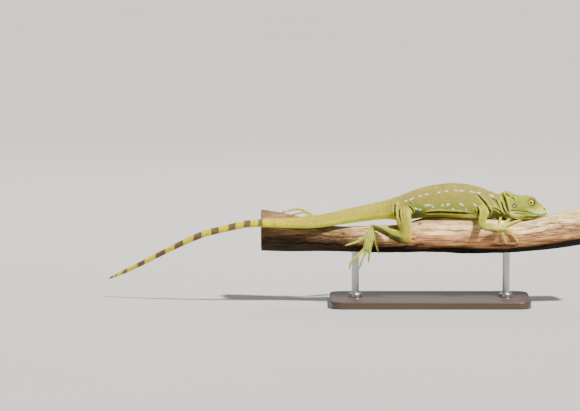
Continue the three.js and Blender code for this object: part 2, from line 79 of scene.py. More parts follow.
# Rounded forms that fill out the skin at the crest of the head and at the joints: middle and half sizes
PADS = (
    ((83.8, 0, 120.2), (6.8, 3.6, 5.9)), ((70, -25.6, 86.2), (6.5, 3.4, 4.3)),
    ((78, -21, 86.4), (4.4, 2.4, 3.8)), ((64.8, 23.4, 85.8), (3.6, 3.2, 3.4)),
    ((-62.9, -16.3, 87.4), (3.4, 3.3, 3.6)), ((-99.2, 13.7, 93.5), (3.8, 3.4, 3.2)),
    ((-26.4, -37.8, 75.6), (5.8, 5, 5.8)), ((-60.4, 30.4, 99.8), (6, 5.4, 5)),
    ((56, -35.4, 90.6), (4.6, 4.2, 4.6)), ((46.6, 35, 92), (4.6, 4.2, 4.6)),
)
# The line of the mouth from its corner to the snout: x, z
MOUTH = ((98.5, 103.2), (104, 103.6), (109, 102.2), (114, 100.4), (119.5, 99.2), (124, 98.9),
         (128, 100.6), (129.2, 101.2))
# Middles of the left eye, ear drum and nostril; the right ones mirror them
EYE_X, EYE_Y, EYE_Z = 111.0, 5.4, 113.2
EAR = (92.3, 13.6, 109.8)
NOSTRIL = (125.6, 3.9, 105.5)
EYE_RADIUS = 4.9
LID_RADIUS = 5.8
# Middle of the opening between the lids, ahead of and above the middle of the eye
OPENING_X, OPENING_Z = 0.3, -0.35
# Height of the fold above the belly: x, z
BELLY_FOLD = ((-40, 99), (-10, 101.4), (8, 103.4), (28, 102.2), (47, 100.6), (70, 99.5))
# Folds of skin as lines in the side view: points as x and z, half width, depth, and on what they lie,
# the head and trunk alone or all of the right side
FOLDS = (
    (((77.7, 124.4), (79.2, 121.6), (81.1, 118.3), (82.2, 115.4), (83.2, 110.4), (84.8, 104.3),
      (86.6, 102.2)), 1.1, 1.8, "body"),
    (((78.1, 114.6), (78.8, 112), (79.6, 108.5), (81.1, 104.6), (84.3, 100.2)), 0.8, 1.2, "body"),
    (((81.3, 124.4), (82.9, 122.4), (85.5, 120.2), (88.4, 118.4)), 0.75, 0.7, "body"),
    (((88.4, 118.4), (92.2, 117.4), (92.4, 114)), 0.9, 0.45, "body"),
    (((67.4, 119.1), (69.1, 116.7), (73.3, 111.1), (78.3, 104.2)), 0.65, 0.85, "body"),
    (((71, 118.9), (72.8, 114.6), (74.6, 111.1), (77, 106.8)), 0.55, 0.6, "body"),
    (((68.6, 107.8), (74.6, 105.6), (78.8, 101.1)), 0.7, 0.8, "body"),
    (((50.9, 122.9), (54.3, 119.4), (60.3, 112.9), (63.1, 109), (64.9, 105.6), (65.7, 102), (65.2, 98.6)),
     0.9, 1.5, "all"),
    (((50.2, 109.4), (52.3, 106.9), (52.7, 103.9), (51.8, 100.5), (51.6, 96)), 0.9, 1.2, "all"),
    (((-8, 102), (8, 103.6), (28, 102.6), (48, 101.2)), 0.85, 0.8, "body"),
    (((-38.9, 112), (-38.8, 109), (-39.3, 104.7), (-38.6, 100.9), (-38.6, 96)), 0.8, 1.0, "all"),
    (((-33.2, 108), (-34.1, 105), (-34.4, 101.6), (-33.8, 98), (-31.2, 91.2)), 0.8, 0.75, "all"),
    (((-30.8, 105.6), (-31.2, 100.6), (-31.4, 96.7)), 0.5, 0.4, "all"),
    (((-24.4, 110.5), (-21.6, 108), (-19.6, 105.4), (-17.8, 101.9)), 0.7, 0.9, "all"),
    (((-23.8, 113.7), (-21.4, 112.6), (-19.1, 109.7), (-17.2, 106.4)), 0.5, 0.5, "all"),
    (((98.8, 104.4), (92, 104.6), (86, 104.2)), 0.6, 0.45, "body"),
    (((104, 100.2), (97, 101.4), (90, 100.8)), 0.6, 0.4, "body"),
    (((122, 97.6), (112, 96.8), (102, 97.2)), 0.8, 0.35, "body"),
)
# Pale marks along the flank: x, z, half length, half height and slope
UPPER_MARKS = ((-35.7, 112.2, 1.5, 1.1, -0.6), (-26.7, 115, 1.7, 1.4, 0.2), (-21, 117.1, 2.8, 0.95, 0.42),
               (-10.6, 120.7, 2.7, 0.9, 0.2), (-3.8, 122.6, 2.3, 0.9, 0.3), (9.9, 124.8, 2.5, 0.9, 0.25),
               (17.3, 125.9, 2.0, 0.9, 0.25), (27.9, 126.6, 2.0, 0.8, 0.0), (34.7, 126.3, 3.0, 0.9, -0.05),
               (45.9, 125, 3.0, 1.0, -0.3), (53, 123.8, 2.2, 1.0, 0.0), (67.3, 120.6, 3.0, 1.0, -0.4))
LOWER_MARKS = ((-15.3, 106.9, 2.0, 1.1, -0.5), (-11.4, 106, 1.1, 1.2, 0.0), (-3, 110.8, 4.0, 0.9, 0.12),
               (2.8, 109.2, 1.5, 1.2, -0.6), (13.3, 111, 1.4, 1.6, 0.0), (19.1, 111.8, 1.6, 1.8, 0.1),
               (34.3, 111.6, 2.3, 1.6, -0.35), (48.8, 111.2, 2.6, 1.6, -0.6), (25.4, 106.4, 1.8, 1.0, -0.3),
               (39.3, 106.4, 0.7, 1.9, 0.0), (-21.5, 103.8, 1.2, 1.6, -0.4), (63.2, 109.4, 1.1, 1.2, -0.5))
# Soft patches of painted shade and painted light, and one dark mark of the back: x, z, half length, half
# height, which colour, how much, and on which part
PAINTED_LIGHT_SHADE_AND_MARKS = (
    (-14, 103, 9, 5.5, "shade", 0.6, "body"), (-22, 110, 5, 5, "shade", 0.3, "body"),
    (4, 99.6, 22, 2.8, "shade", 0.85, "body"), (-17, 102, 4.4, 8.5, "shade", 0.75, "body"),
    (46, 98.4, 11, 2.2, "light", 0.95, "body"), (84, 104.4, 5, 4.5, "shade", 0.5, "body"),
    (123, 105, 7, 4.2, "light", 0.75, "head"), (104, 112, 6, 4, "light", 0.16, "head"),
    (108, 96.4, 10, 1.6, "shade", 0.4, "head"), (96, 106, 7, 2.2, "shade", 0.25, "head"),
    (76, 89, 7, 5.5, "light", 0.85, "limb"), (-59.4, 70, 2.4, 9, "shade", 0.55, "limb"),
    (-20.4, 91, 1.7, 17, "limb_edge", 0.85, "limb"), (-23.9, 103, 1.5, 8, "light", 0.45, "limb"),
    (-32.2, 102, 2.0, 8, "shade", 0.28, "limb"), (-32.4, 87.5, 2.6, 6.5, "shade", 0.4, "limb"),
    (-35.6, 86.4, 2.4, 3.2, "shade", 0.9, "limb"), (-20.9, 107.7, 2.0, 3.5, "shade", 0.5, "body"),
    (82.5, 123.2, 3, 2.4, "light", 0.4, "head"), (62, 88, 9, 3.5, "light", 0.35, "limb"),
    (-44, 108, 8, 7, "shade", 0.2, "body"), (70.5, 110, 2.4, 5, "light", 0.35, "body"),
    (-28, 96, 8, 10, "shade", 0.16, "limb"), (-66, 88, 12, 12, "light", 0.12, "limb"),
    (-38, 76, 14, 3.2, "shade", 0.45, "limb"), (66, 124.5, 3, 2, "shade", 0.25, "body"),
)
# Small pale spots on the root of the tail: x, z
TAIL_MARKS = ((-40.4, 104.2), (-49.6, 110.9), (-53, 104), (-64.2, 107.4), (-67, 100.8), (-69, 105),
              (-79.4, 103.2), (-95.7, 102), (-108, 98.4), (-121, 96))
# The three ripples of light and dark all over the skin: strength, width, start
SPECKLE = ((0.06, 7.0, 3.0), (0.08, 1.7, 1.0), (0.1, 0.6, 8.0))
# Thin dark curls high on the back: x, z, radius
CURLS = ((12.5, 129.2, 2.3), (33, 129.9, 2.3), (49.5, 128.0, 2.1))
# Dark bands of the tail: middle, half width, how dark
BANDS = ((-171.5, 2.0, 0.22), (-186.6, 2.8, 0.95), (-200.9, 3.6, 1.0), (-217.8, 4.5, 1.0),
         (-236.6, 4.4, 1.0), (-255.8, 4.3, 1.0), (-276.4, 4.6, 1.0), (-297, 4.9, 1.0), (-319, 4.6, 1.0),
         (-337.5, 2.4, 0.9), (-347.6, 0.7, 0.9))
# Where the dark tip of the tail begins
TAIL_TIP = -351.0
# Distance from the wrist's or ankle's side where the colour of the digits begins, and where it is full
DIGITS_FROM = {"hand_": (17, 24), "foot_": (34, 42)}
# Turn for each mm across the sole, which sets its ridges 2.6 mm apart
SOLE_RIDGE = 2.42
# Where the pale upper side of the right shin gives way to painted shade on its underside: x, z
SHIN_SHADE_LINE = ((-62, 89.4), (-55, 87.2), (-48.4, 83.9), (-41.8, 80.4), (-35.2, 78.6), (-29, 77.0))
# Stretches of the body on the unwrap: their solids, their ends in x, and a tile as left, low, width, height
UNWRAP = ((HEAD, 77.0, 131.0, (0.02, 0.02, 0.3, 0.3)),
          (TRUNK[:4], -45.0, 80.0, (0.02, 0.36, 0.96, 0.3)),
          (TRUNK[4:], -358.0, -43.0, (0.02, 0.7, 0.96, 0.28)))
# Cracks along the branch: their ends in x, turn round it in degrees, width, and drift in degrees
CRACKS = (
    (62, 104, -122, 3.0, 6), (84, 134, -134, 3.4, -5), (-60, -8, -100, 2.0, 5), (-8, 52, -138, 3.0, -6),
    (100, 150, -62, 1.6, 4), (-150, -90, -118, 3.0, 8), (66, 92, -112, 1.6, -16), (-130, -70, -80, 2.0, 7),
    (10, 60, -70, 1.2, 3), (70, 150, -84, 1.2, 5), (-48, 0, -126, 2.4, 6), (20, 90, 120, 3.0, 6),
    (-120, -40, 95, 2.6, -6), (118, 170, 70, 2.4, 6),
)
# Knots of the branch: x, turn in degrees, radius
KNOTS = ((-12, -40, 2.2), (144.5, -74, 1.0), (-96, -60, 1.8), (60, 60, 2.4), (-140, 40, 2.6))
# How far the crest of the branch rises to carry the throat: x, height
REST = ((72, 0), (80, 1.6), (86, 2.25), (92, 2.15), (98, 1.4), (104, 0))


def srgb(red, green, blue):
    """A colour given in the 0 to 255 of a picture, as linear light."""
    values = [c / 255 for c in (red, green, blue)]
    return tuple(c / 12.92 if c <= 0.04045 else ((c + 0.055) / 1.055) ** 2.4 for c in values)


def size(label, default, text, unit="LENGTH"):
    return FloatProperty(name=label, description=text, default=default, min=0.0, precision=5, unit=unit)


def colour(label, default, text):
    return FloatVectorProperty(name=label, description=text, default=srgb(*default), subtype="COLOR",
                               size=3, min=0.0, max=1.0)


class BasiliskSkinSettings(bpy.types.PropertyGroup):
    """Sizes of the skin and of its scales."""

    voxel: size("Skin grain", 0.77 * MM, "Spacing of the skin's points")
    coat: size("Scale depth", 0.3 * MM, "How far the skin lies under the tips of the scales")
    body_pitch: size("Body scale", 0.98 * MM, "Spacing of the scales round the trunk")
    tail_pitch: size("Tail scale", 1.08 * MM, "Spacing of the scales round the tail")
    limb_pitch: size("Limb scale", 0.88 * MM, "Spacing of the scales on the legs")
    head_pitch: size("Head scale", 0.86 * MM, "Spacing of the scales on the cheeks")
    crest_pitch: size("Crest pitch", 2.6 * MM, "Spacing of the teeth along the back")
    crest_height: size("Crest height", 1.6 * MM, "Height of the largest teeth along the back")
    seed: IntProperty(name="Seed", description="Start of every random draw", default=7, min=0)


class BasiliskColours(bpy.types.PropertyGroup):
    """Colours of the living animal, and of the painted shade and painted light laid over them."""

    back: colour("Back", (182, 170, 80), "Top of the back")
    flank: colour("Flank", (168, 160, 72), "Side of the trunk")
    low_flank: colour("Low flank", (150, 156, 58), "Side of the trunk above the belly fold")
    belly: colour("Belly", (160, 160, 40), "Belly under the fold")
    head: colour("Head", (154, 166, 52), "Sides of the head")
    crown: colour("Crown", (176, 178, 52), "Top of the head")
    lip: colour("Lips", (192, 255, 180), "Edge of the upper lip")
    throat: colour("Throat", (250, 255, 150), "Patch under the ear")
    limb: colour("Limbs", (178, 170, 52), "Outside of the legs")
    # Partly the legs' own paler edges and partly painted light where the legs turn away from the camera
    limb_edge: colour("Limb edges", (226, 218, 74), "Lighter edges of the legs")
    foot: colour("Feet", (176, 188, 84), "Top of the feet")
    digit: colour("Digits", (222, 214, 96), "Fingers and toes")
    tail: colour("Tail", (206, 189, 72), "Root of the tail")
    tail_low: colour("Tail underside", (238, 242, 66), "Underside of the tail")
    tail_end: colour("Tail end", (242, 226, 34), "Between the bands of the tail")
    band: colour("Bands", (126, 102, 74), "Dark bands of the tail")
    mark: colour("Pale marks", (255, 255, 238), "Rows of pale marks along the flank")
    # Painted shade: the fold colour darkens the bottoms of the folds, the line of the mouth, the underside of
    # the neck and the near shin's underside
    fold: colour("Folds", (14, 13, 2), "Bottom of the folds of skin")
    # Painted light on the raised ridges beside the folds and on the crests of the sole's ridges; also the own
    # colour of the pale spots on the tail's root
    fold_edge: colour("Fold edges", (248, 248, 100), "Skin stretched beside a fold")
    # Painted shade in the groin, under the neck, under the legs and along the belly; also the own colour of
    # the thin dark curls on the back
    shade: colour("Shade", (70, 76, 18), "Dusky patches in the groin, under the neck and under the legs")
    # Painted light on the snout, the crown, the elbow, the palm, the belly and the legs; also the own pale
    # colour of the tail near its tip and of the line above the lip
    light: colour("Light", (254, 246, 134), "Palest patches of the snout, the elbow and the belly")


class BasiliskStandSettings(bpy.types.PropertyGroup):
    """Sizes of the stand and of the studio."""

    base_corner: size("Base corner", 14 * MM, "Radius of the base's corners seen from above")
    base_edge: size("Base edge", 1.4 * MM, "Rounding of the base's top edge")
    rod_collar: size("Collar", 8 * MM, "Radius of the collar at each rod's foot")
    bark_grain: size("Bark grain", 0.8 * MM, "Spacing of the branch's points")
    bark_relief: size("Bark relief", 0.75 * MM, "Depth of the grain along the branch")
    distance: size("Camera distance", 5.0, "From the camera to the lizard")
    frame_width: size("Frame width", 0.638, "Width of the picture at the lizard")
    elevation: FloatProperty(name="Camera elevation", description="How far the camera looks down",
                             subtype="ANGLE", default=math.radians(6), min=0.0, max=1.5)


class BasiliskSettings(bpy.types.PropertyGroup):
    """Everything that a user may change on the model."""

    skin: PointerProperty(type=BasiliskSkinSettings)
    colours: PointerProperty(type=BasiliskColours)
    stand: PointerProperty(type=BasiliskStandSettings)


def settings():
    return bpy.context.scene.basilisk


# Arrays of points, in mm unless a line says otherwise

def ramp(value, low, high):
    """0 below low, 1 above high and smooth between."""
    t = np.clip((value - low) / (high - low), 0.0, 1.0)
    return t * t * (3 - 2 * t)


def unit(vectors):
    return vectors / np.maximum(np.linalg.norm(vectors, axis=-1, keepdims=True), 1e-12)


def ripple(points, scale, seed=0.0):
    """A smooth pattern between about -1 and 1 that wanders over the points, in mm."""
    p = points / scale + seed
    x, y, z = p[:, 0], p[:, 1], p[:, 2]
    total = np.sin(x + 1.7 * np.sin(y * 0.9 + seed)) * np.cos(z * 1.1 + 1.3 * np.sin(x * 0.7))
    total += 0.6 * np.sin(2.1 * y + 1.9 * np.sin(z * 1.3 + 0.4)) * np.sin(1.9 * x + seed)
    total += 0.4 * np.sin(4.3 * z + 2.0 * np.sin(2.9 * x)) * np.cos(3.7 * y + 1.0)
    return total / 1.6


def height_on(line, x):
    """Height of a line of (x, z) points at each x."""
    return np.interp(x, *zip(*line))


def mix(base, other, amount):
    """One colour blended towards another by an amount for each point."""
    base = np.asarray(base)
    return base + (np.asarray(other) - base) * np.clip(amount, 0, 1)[:, None]


def from_nostril(points):
    """Distance from each point to the nostril on its side."""
    x, y, z = points.T
    return np.linalg.norm(np.column_stack([x, np.abs(y), z]) - np.array(NOSTRIL), axis=1)


def from_ear(points):
    """Distance from each point to the middle of the ear drum in the side view."""
    return np.hypot(points[:, 0] - EAR[0], points[:, 2] - EAR[2])


def eye_middle(side):
    return np.array([EYE_X, side * EYE_Y, EYE_Z])


def tree_of(points):
    """A tree that finds the nearest of the points."""
    tree = KDTree(len(points))
    for i, p in enumerate(points):
        tree.insert(p, i)
    tree.balance()
    return tree


def scatter(corner, density, rng):
    """Random places on triangles by area: which triangle, and how far along two of its sides."""
    area = 0.5 * np.linalg.norm(np.cross(corner[:, 1] - corner[:, 0], corner[:, 2] - corner[:, 0]), axis=1)
    pick = rng.choice(len(corner), int(area.sum() * density), p=area / area.sum())
    a, b = rng.random((2, len(pick), 1))
    flip = a + b > 1
    return pick, np.where(flip, 1 - a, a), np.where(flip, 1 - b, b)


def rounded(line):
    """A line of points with its corners cut twice, its ends kept."""
    line = [np.array(p, float) for p in line]
    for _ in range(2):
        cut = [0.75 * a + 0.25 * b if k == 0 else 0.25 * a + 0.75 * b
               for a, b in zip(line[:-1], line[1:]) for k in range(2)]
        line = [line[0], *cut, line[-1]]
    return line


def along_line(points, line):
    """Distance in the plane of the side view from each point to a line, and how far along it that is."""
    line = rounded(line)
    best, share = np.full(len(points), 1e9), np.zeros(len(points))
    for i, (a, b) in enumerate(zip(line[:-1], line[1:])):
        t = np.clip(((points - a) @ (b - a)) / ((b - a) @ (b - a)), 0.0, 1.0)
        distance = np.linalg.norm(points - (a + t[:, None] * (b - a)), axis=1)
        share = np.where(distance < best, (i + t) / (len(line) - 1), share)
        best = np.minimum(best, distance)
    return best, share


def read(items, attribute, width, kind=np.int32):
    """One attribute of every point, edge or corner, as rows of an array."""
    values = np.empty(len(items) * width, kind)
    items.foreach_get(attribute, values)
    return values.reshape(-1, width)


def coordinates(mesh):
    """The points of a mesh, in metres."""
    return read(mesh.vertices, "co", 3, np.float32).astype(float)


def in_mm(mesh):
    return coordinates(mesh) * 1000


def normals(mesh):
    return read(mesh.vertices, "normal", 3, np.float32).astype(float)


def move_points(mesh, co):
    """Puts the points of a mesh at places in metres."""
    mesh.vertices.foreach_set("co", np.asarray(co, np.float32).ravel())
    mesh.update()


def shown(name, mesh, material):
    """A finished piece: its object at the origin, riding on the body."""
    obj = bpy.data.objects.new(name, mesh)
    bpy.context.scene.collection.objects.link(obj)
    mesh.materials.clear()
    mesh.materials.append(material)
    mesh.polygons.foreach_set("use_smooth", [True] * len(mesh.polygons))
    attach(obj, "root")
    return obj


def as_mesh(name, bm):
    mesh = bpy.data.meshes.new(name)
    bm.to_mesh(mesh)
    bm.free()
    return mesh


def closed_mesh(name, bm):
    """A mesh made from a closed bmesh, with its faces turned outwards."""
    bmesh.ops.recalc_face_normals(bm, faces=bm.faces)
    return as_mesh(name, bm)


def bridge(bm, rings):
    """Joins two rings of points by a band of faces."""
    edges = [e for ring in rings for v in ring for e in v.link_edges if e.other_vert(v) in ring]
    bmesh.ops.bridge_loops(bm, edges=list(dict.fromkeys(edges)))


def merged_copy(node):
    """A CAD node's surface as a bmesh, with its loose triangles joined."""
    bm = bmesh.new()
    bm.from_mesh(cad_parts[node].data)
    bmesh.ops.remove_doubles(bm, verts=bm.verts, dist=1e-6)
    return bm


def modified(mesh, name, modifiers):
    """The mesh that a stack of modifiers makes, each given as (type, settings)."""
    obj = bpy.data.objects.new(name, mesh)
    bpy.context.scene.collection.objects.link(obj)
    for kind, values in modifiers:
        modifier = obj.modifiers.new(kind.title(), kind)
        for key, value in values.items():
            setattr(modifier, key, value)
    graph = bpy.context.evaluated_depsgraph_get()
    made = bpy.data.meshes.new_from_object(obj.evaluated_get(graph))
    bpy.data.objects.remove(obj)
    made.name = name
    return made


# Where each point of the skin belongs, and how its scales lie

def root_of(part, side):
    """The solid that a length of a leg grows from."""
    root = ROOT_OF[part]
    return root if root in TRUNK else root + side


class Anatomy:
    """The CAD nodes as a map of the body: the node nearest to a point, and the trunk's centreline."""

    def __init__(self):
        rng = np.random.default_rng(5)
        self.names = list(FLESH)
        self.middle = {}
        points, labels = [], []
        for index, node in enumerate(self.names):
            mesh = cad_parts[node].data
            corner = in_mm(mesh)[read(mesh.loops, "vertex_index", 1).reshape(-1, 3)]
            pick, a, b = scatter(corner, 1.3, rng)
            t = corner[pick]
            points.append(t[:, 0] + a * (t[:, 1] - t[:, 0]) + b * (t[:, 2] - t[:, 0]))
            labels.append(np.full(len(pick), index))
            self.middle[node] = points[-1].mean(0)
        self.points = np.concatenate(points)
        self.labels = np.concatenate(labels)
        self.tree = tree_of(self.points)
        trunk = self.points[self.among(self.labels, TRUNK)]
        xs = np.arange(80, -358, -3.0)
        rows = []
        for x in xs:
            near = trunk[np.abs(trunk[:, 0] - x) < 2.2]
            rows.append((near.min(0) + near.max(0))[1:] / 2)
        padded = np.pad(np.array(rows), ((3, 3), (0, 0)), mode="reflect", reflect_type="odd")
        smooth = np.stack([np.convolve(padded[:, c], np.ones(7) / 7, "valid") for c in range(2)], 1)
        self.line = np.column_stack([xs, smooth])
        steps = np.linalg.norm(np.diff(self.line, axis=0), axis=1)
        self.along = np.concatenate([[0.0], np.cumsum(steps)])

    def label(self, points):
        """The number of the node nearest to each point."""
        return np.array([self.labels[self.tree.find(p)[1]] for p in points])

    def among(self, labels, names):
        """True where a label is that of one of the named nodes."""
        return np.isin(labels, [self.names.index(n) for n in names])

    def centre(self, x):
        """The trunk's middle at each x."""
        xs = self.line[::-1, 0]
        return np.column_stack([x, *(np.interp(x, xs, self.line[::-1, c]) for c in (1, 2))])

    def offset(self, points):
        """How far each point lies to the left of the trunk's middle, and above it."""
        centre = self.centre(np.clip(points[:, 0], -357, 79))
        return points[:, 1] - centre[:, 1], points[:, 2] - centre[:, 2]

    def at(self, distance):
        """Middle and direction of the trunk at a distance back from the nape."""
        place, ahead, behind = (
            np.array([np.interp(distance + step, self.along, self.line[:, c]) for c in range(3)])
            for step in (0, 2, -2))
        return place, (ahead - behind) / np.linalg.norm(ahead - behind)

    def lie(self, points, labels):
        """The way that scales point: back along the head and trunk, and down each leg."""
        out = np.tile([-1.0, 0.0, 0.0], (len(points), 1))
        trunk = self.among(labels, TRUNK)
        x = points[trunk, 0]
        out[trunk] = unit(self.centre(x - 2) - self.centre(x + 2))
        for side in SIDES:
            for part in ROOT_OF:
                node, root = part + side, root_of(part, side)
                here = self.among(labels, [node])
                start = self.middle[root]
                straight = unit(self.middle[node] - start)
                if node in PAWS:
                    start = start + 0.72 * (self.middle[node] - start)
                    out[here] = unit(unit(points[here] - start) + 0.4 * straight)
                else:
                    out[here] = straight
        return out


def fold_lines(points, body):
    """For each fold: the distance to it in half widths, and its depth, which runs out at both ends."""
    x, y, z = points.T
    plane = points[:, (0, 2)]
    wander = 0.22 * ripple(points, 2.6, 5.0)
    swell = 1 + 0.3 * ripple(points, 4.5, 2.0)
    for line, wide, deep, where in FOLDS:
        (first, low), (last, high) = np.min(line, axis=0) - 5, np.max(line, axis=0) + 5
        close = (x > first) & (x < last) & (z > low) & (z < high) & (np.abs(y) > 2.0)
        close &= body | ((where == "all") & (y < 0))
        near, depth = np.full(len(points), 9.0), np.zeros(len(points))
        distance, share = along_line(plane[close], line)
        run = ramp(share, -0.05, 0.3) * (1 - ramp(share, 0.65, 1.02))
        near[close] = np.abs(distance + wander[close]) / (wide * (0.35 + 0.65 * run) * swell[close])
        depth[close] = deep * run
        yield near, depth


def sole_ridges(anatomy, points, labels):
    """How much of the sole of the right foot each point is, and its place on the wave of the ridges."""
    x, _, z = points.T
    sole = anatomy.among(labels, ["foot_right"]) * ramp(z, 60, 64) * (1 - ramp(z, 80, 86))
    return sole, np.cos(((x + 66.9) - 0.25 * (z - 74.4)) * SOLE_RIDGE)


# Colours with painted shade and painted light: one function colours the skin and every scale on it

def trunk_colour(points, rise):
    """Back, flank, belly, and the tail with its bands, by the height over the trunk's middle."""
    c = settings().colours
    x, _, z = points.T
    body = mix(c.flank, c.back, ramp(rise, 4, 17))
    body = mix(body, c.low_flank, ramp(-rise, -1, 6))
    body = mix(body, c.belly, ramp(height_on(BELLY_FOLD, x) - z, -0.6, 1.6) * ramp(x, -46, -30))
    body = mix(body, mix(c.tail, c.tail_low, ramp(-rise, -1.5, 5.5)), ramp(-x, 24, 56))
    far = ramp(-x, 120, 200)
    body = mix(body, c.tail_end, far)
    body = mix(body, c.tail_low, 0.4 * ramp(-rise, 0.5, 3.5) * far)
    body = mix(body, c.light, 0.5 * ramp(-x, 326, 346))
    uneven = 0.9 * ripple(points, 5.0)
    low_side = 1 - 0.7 * ramp(-rise, 1.6, 3.6) * ramp(x, -240, -205)
    for band, half, dark in BANDS:
        off = np.abs(x - band + uneven)
        body = mix(body, c.band, dark * low_side * (1 - ramp(off, half - 0.6, half + 0.6)))
    return mix(body, srgb(72, 66, 60), ramp(-x, -TAIL_TIP - 1.0, -TAIL_TIP + 1.5))


def head_colour(points):
    """Sides and crown of the head, lips, the pale patch under the ear, and the ring round the eye."""
    c = settings().colours
    x, _, z = points.T
    above_lip = z - height_on(MOUTH, x)
    crown = mix(c.head, c.crown, ramp(z, 112, 118))
    crown = mix(crown, c.light, 0.6 * np.exp(-((above_lip - 3.2) / 1.6) ** 2) * ramp(x, 102, 118))
    crown = mix(crown, c.lip, 0.95 * np.exp(-((above_lip - 1.1) / 1.5) ** 2) * ramp(x, 104, 118))
    crown = mix(crown, c.low_flank, 0.6 * ramp(-above_lip, 1.0, 4.0))
    patch = np.exp(-(((x - 91) / 8.5) ** 2 + ((z - 101 - 0.45 * (91 - x)) / 3.6) ** 2))
    crown = mix(crown, c.throat, patch)
    behind_eye = np.exp(-(((x - 99) / 5) ** 2 + ((z - 112) / 3) ** 2))
    crown = mix(crown, c.low_flank, 0.35 * behind_eye)
    ring = np.abs(np.hypot(x - EYE_X, z - EYE_Z) - 4.4)
    return mix(crown, srgb(112, 96, 40), 0.3 * np.exp(-(ring / 1.1) ** 2))


def leg_colour(anatomy, points, normal, labels):
    """Legs with painted shade on their undersides and painted light along their edges, feet, digits, and the
    ridges of the sole with painted light and shade.
    """
    c = settings().colours
    x, y, z = points.T
    shins, forearms, feet = (anatomy.among(labels, names) for names in (
        ["shin_" + side for side in SIDES], ["forearm_" + side for side in SIDES], PAWS))
    down = -normal[:, 2]
    # Painted shade on every part of a leg that faces down
    leg = mix(c.limb, c.shade, 0.75 * ramp(down, 0.15, 0.8))
    # Painted light along the legs' outline where they turn away from the camera, over their own paler edges
    leg = mix(leg, c.limb_edge, 0.7 * (1 - ramp(np.abs(normal[:, 1]), 0.3, 0.75)) * ramp(-down, -0.5, 0.1))
    # Painted shade on the far shin's underside, and on the near shin below its shade line
    leg = mix(leg, c.shade, 0.85 * shins * (y > 0) * ramp(down, -0.08, 0.22))
    shin_painted_shade = shins * (y < 0) * ramp(height_on(SHIN_SHADE_LINE, x) - z, -0.5, 0.7) * (1 - ramp(x, -36, -28))
    leg = mix(leg, c.shade, 0.97 * shin_painted_shade)
    leg = mix(leg, c.fold, 0.3 * shin_painted_shade)
    # Painted shade along the underside of the forearms
    leg = mix(leg, c.shade, 0.8 * forearms * ramp(down, 0.42, 0.66))
    leg = mix(leg, c.low_flank, 0.5 * ramp(ripple(points, 8.0, 2.0), 0.3, 0.9))
    leg = mix(leg, c.foot, 0.8 * feet)
    sole, wave = sole_ridges(anatomy, points, labels)
    # Painted light on the crests of the sole's ridges and painted shade in the troughs between them
    leg = mix(leg, c.fold_edge, 0.65 * sole * np.clip(wave, 0, 1) ** 2)
    leg = mix(leg, c.shade, 0.42 * sole * np.clip(-wave, 0, 1) ** 2)
    for side in SIDES:
        for part, (begins, full) in DIGITS_FROM.items():
            reach = np.linalg.norm(points - anatomy.middle[root_of(part, side)], axis=1)
            leg = mix(leg, c.digit, anatomy.among(labels, [part + side]) * ramp(reach, begins, full))
    return leg


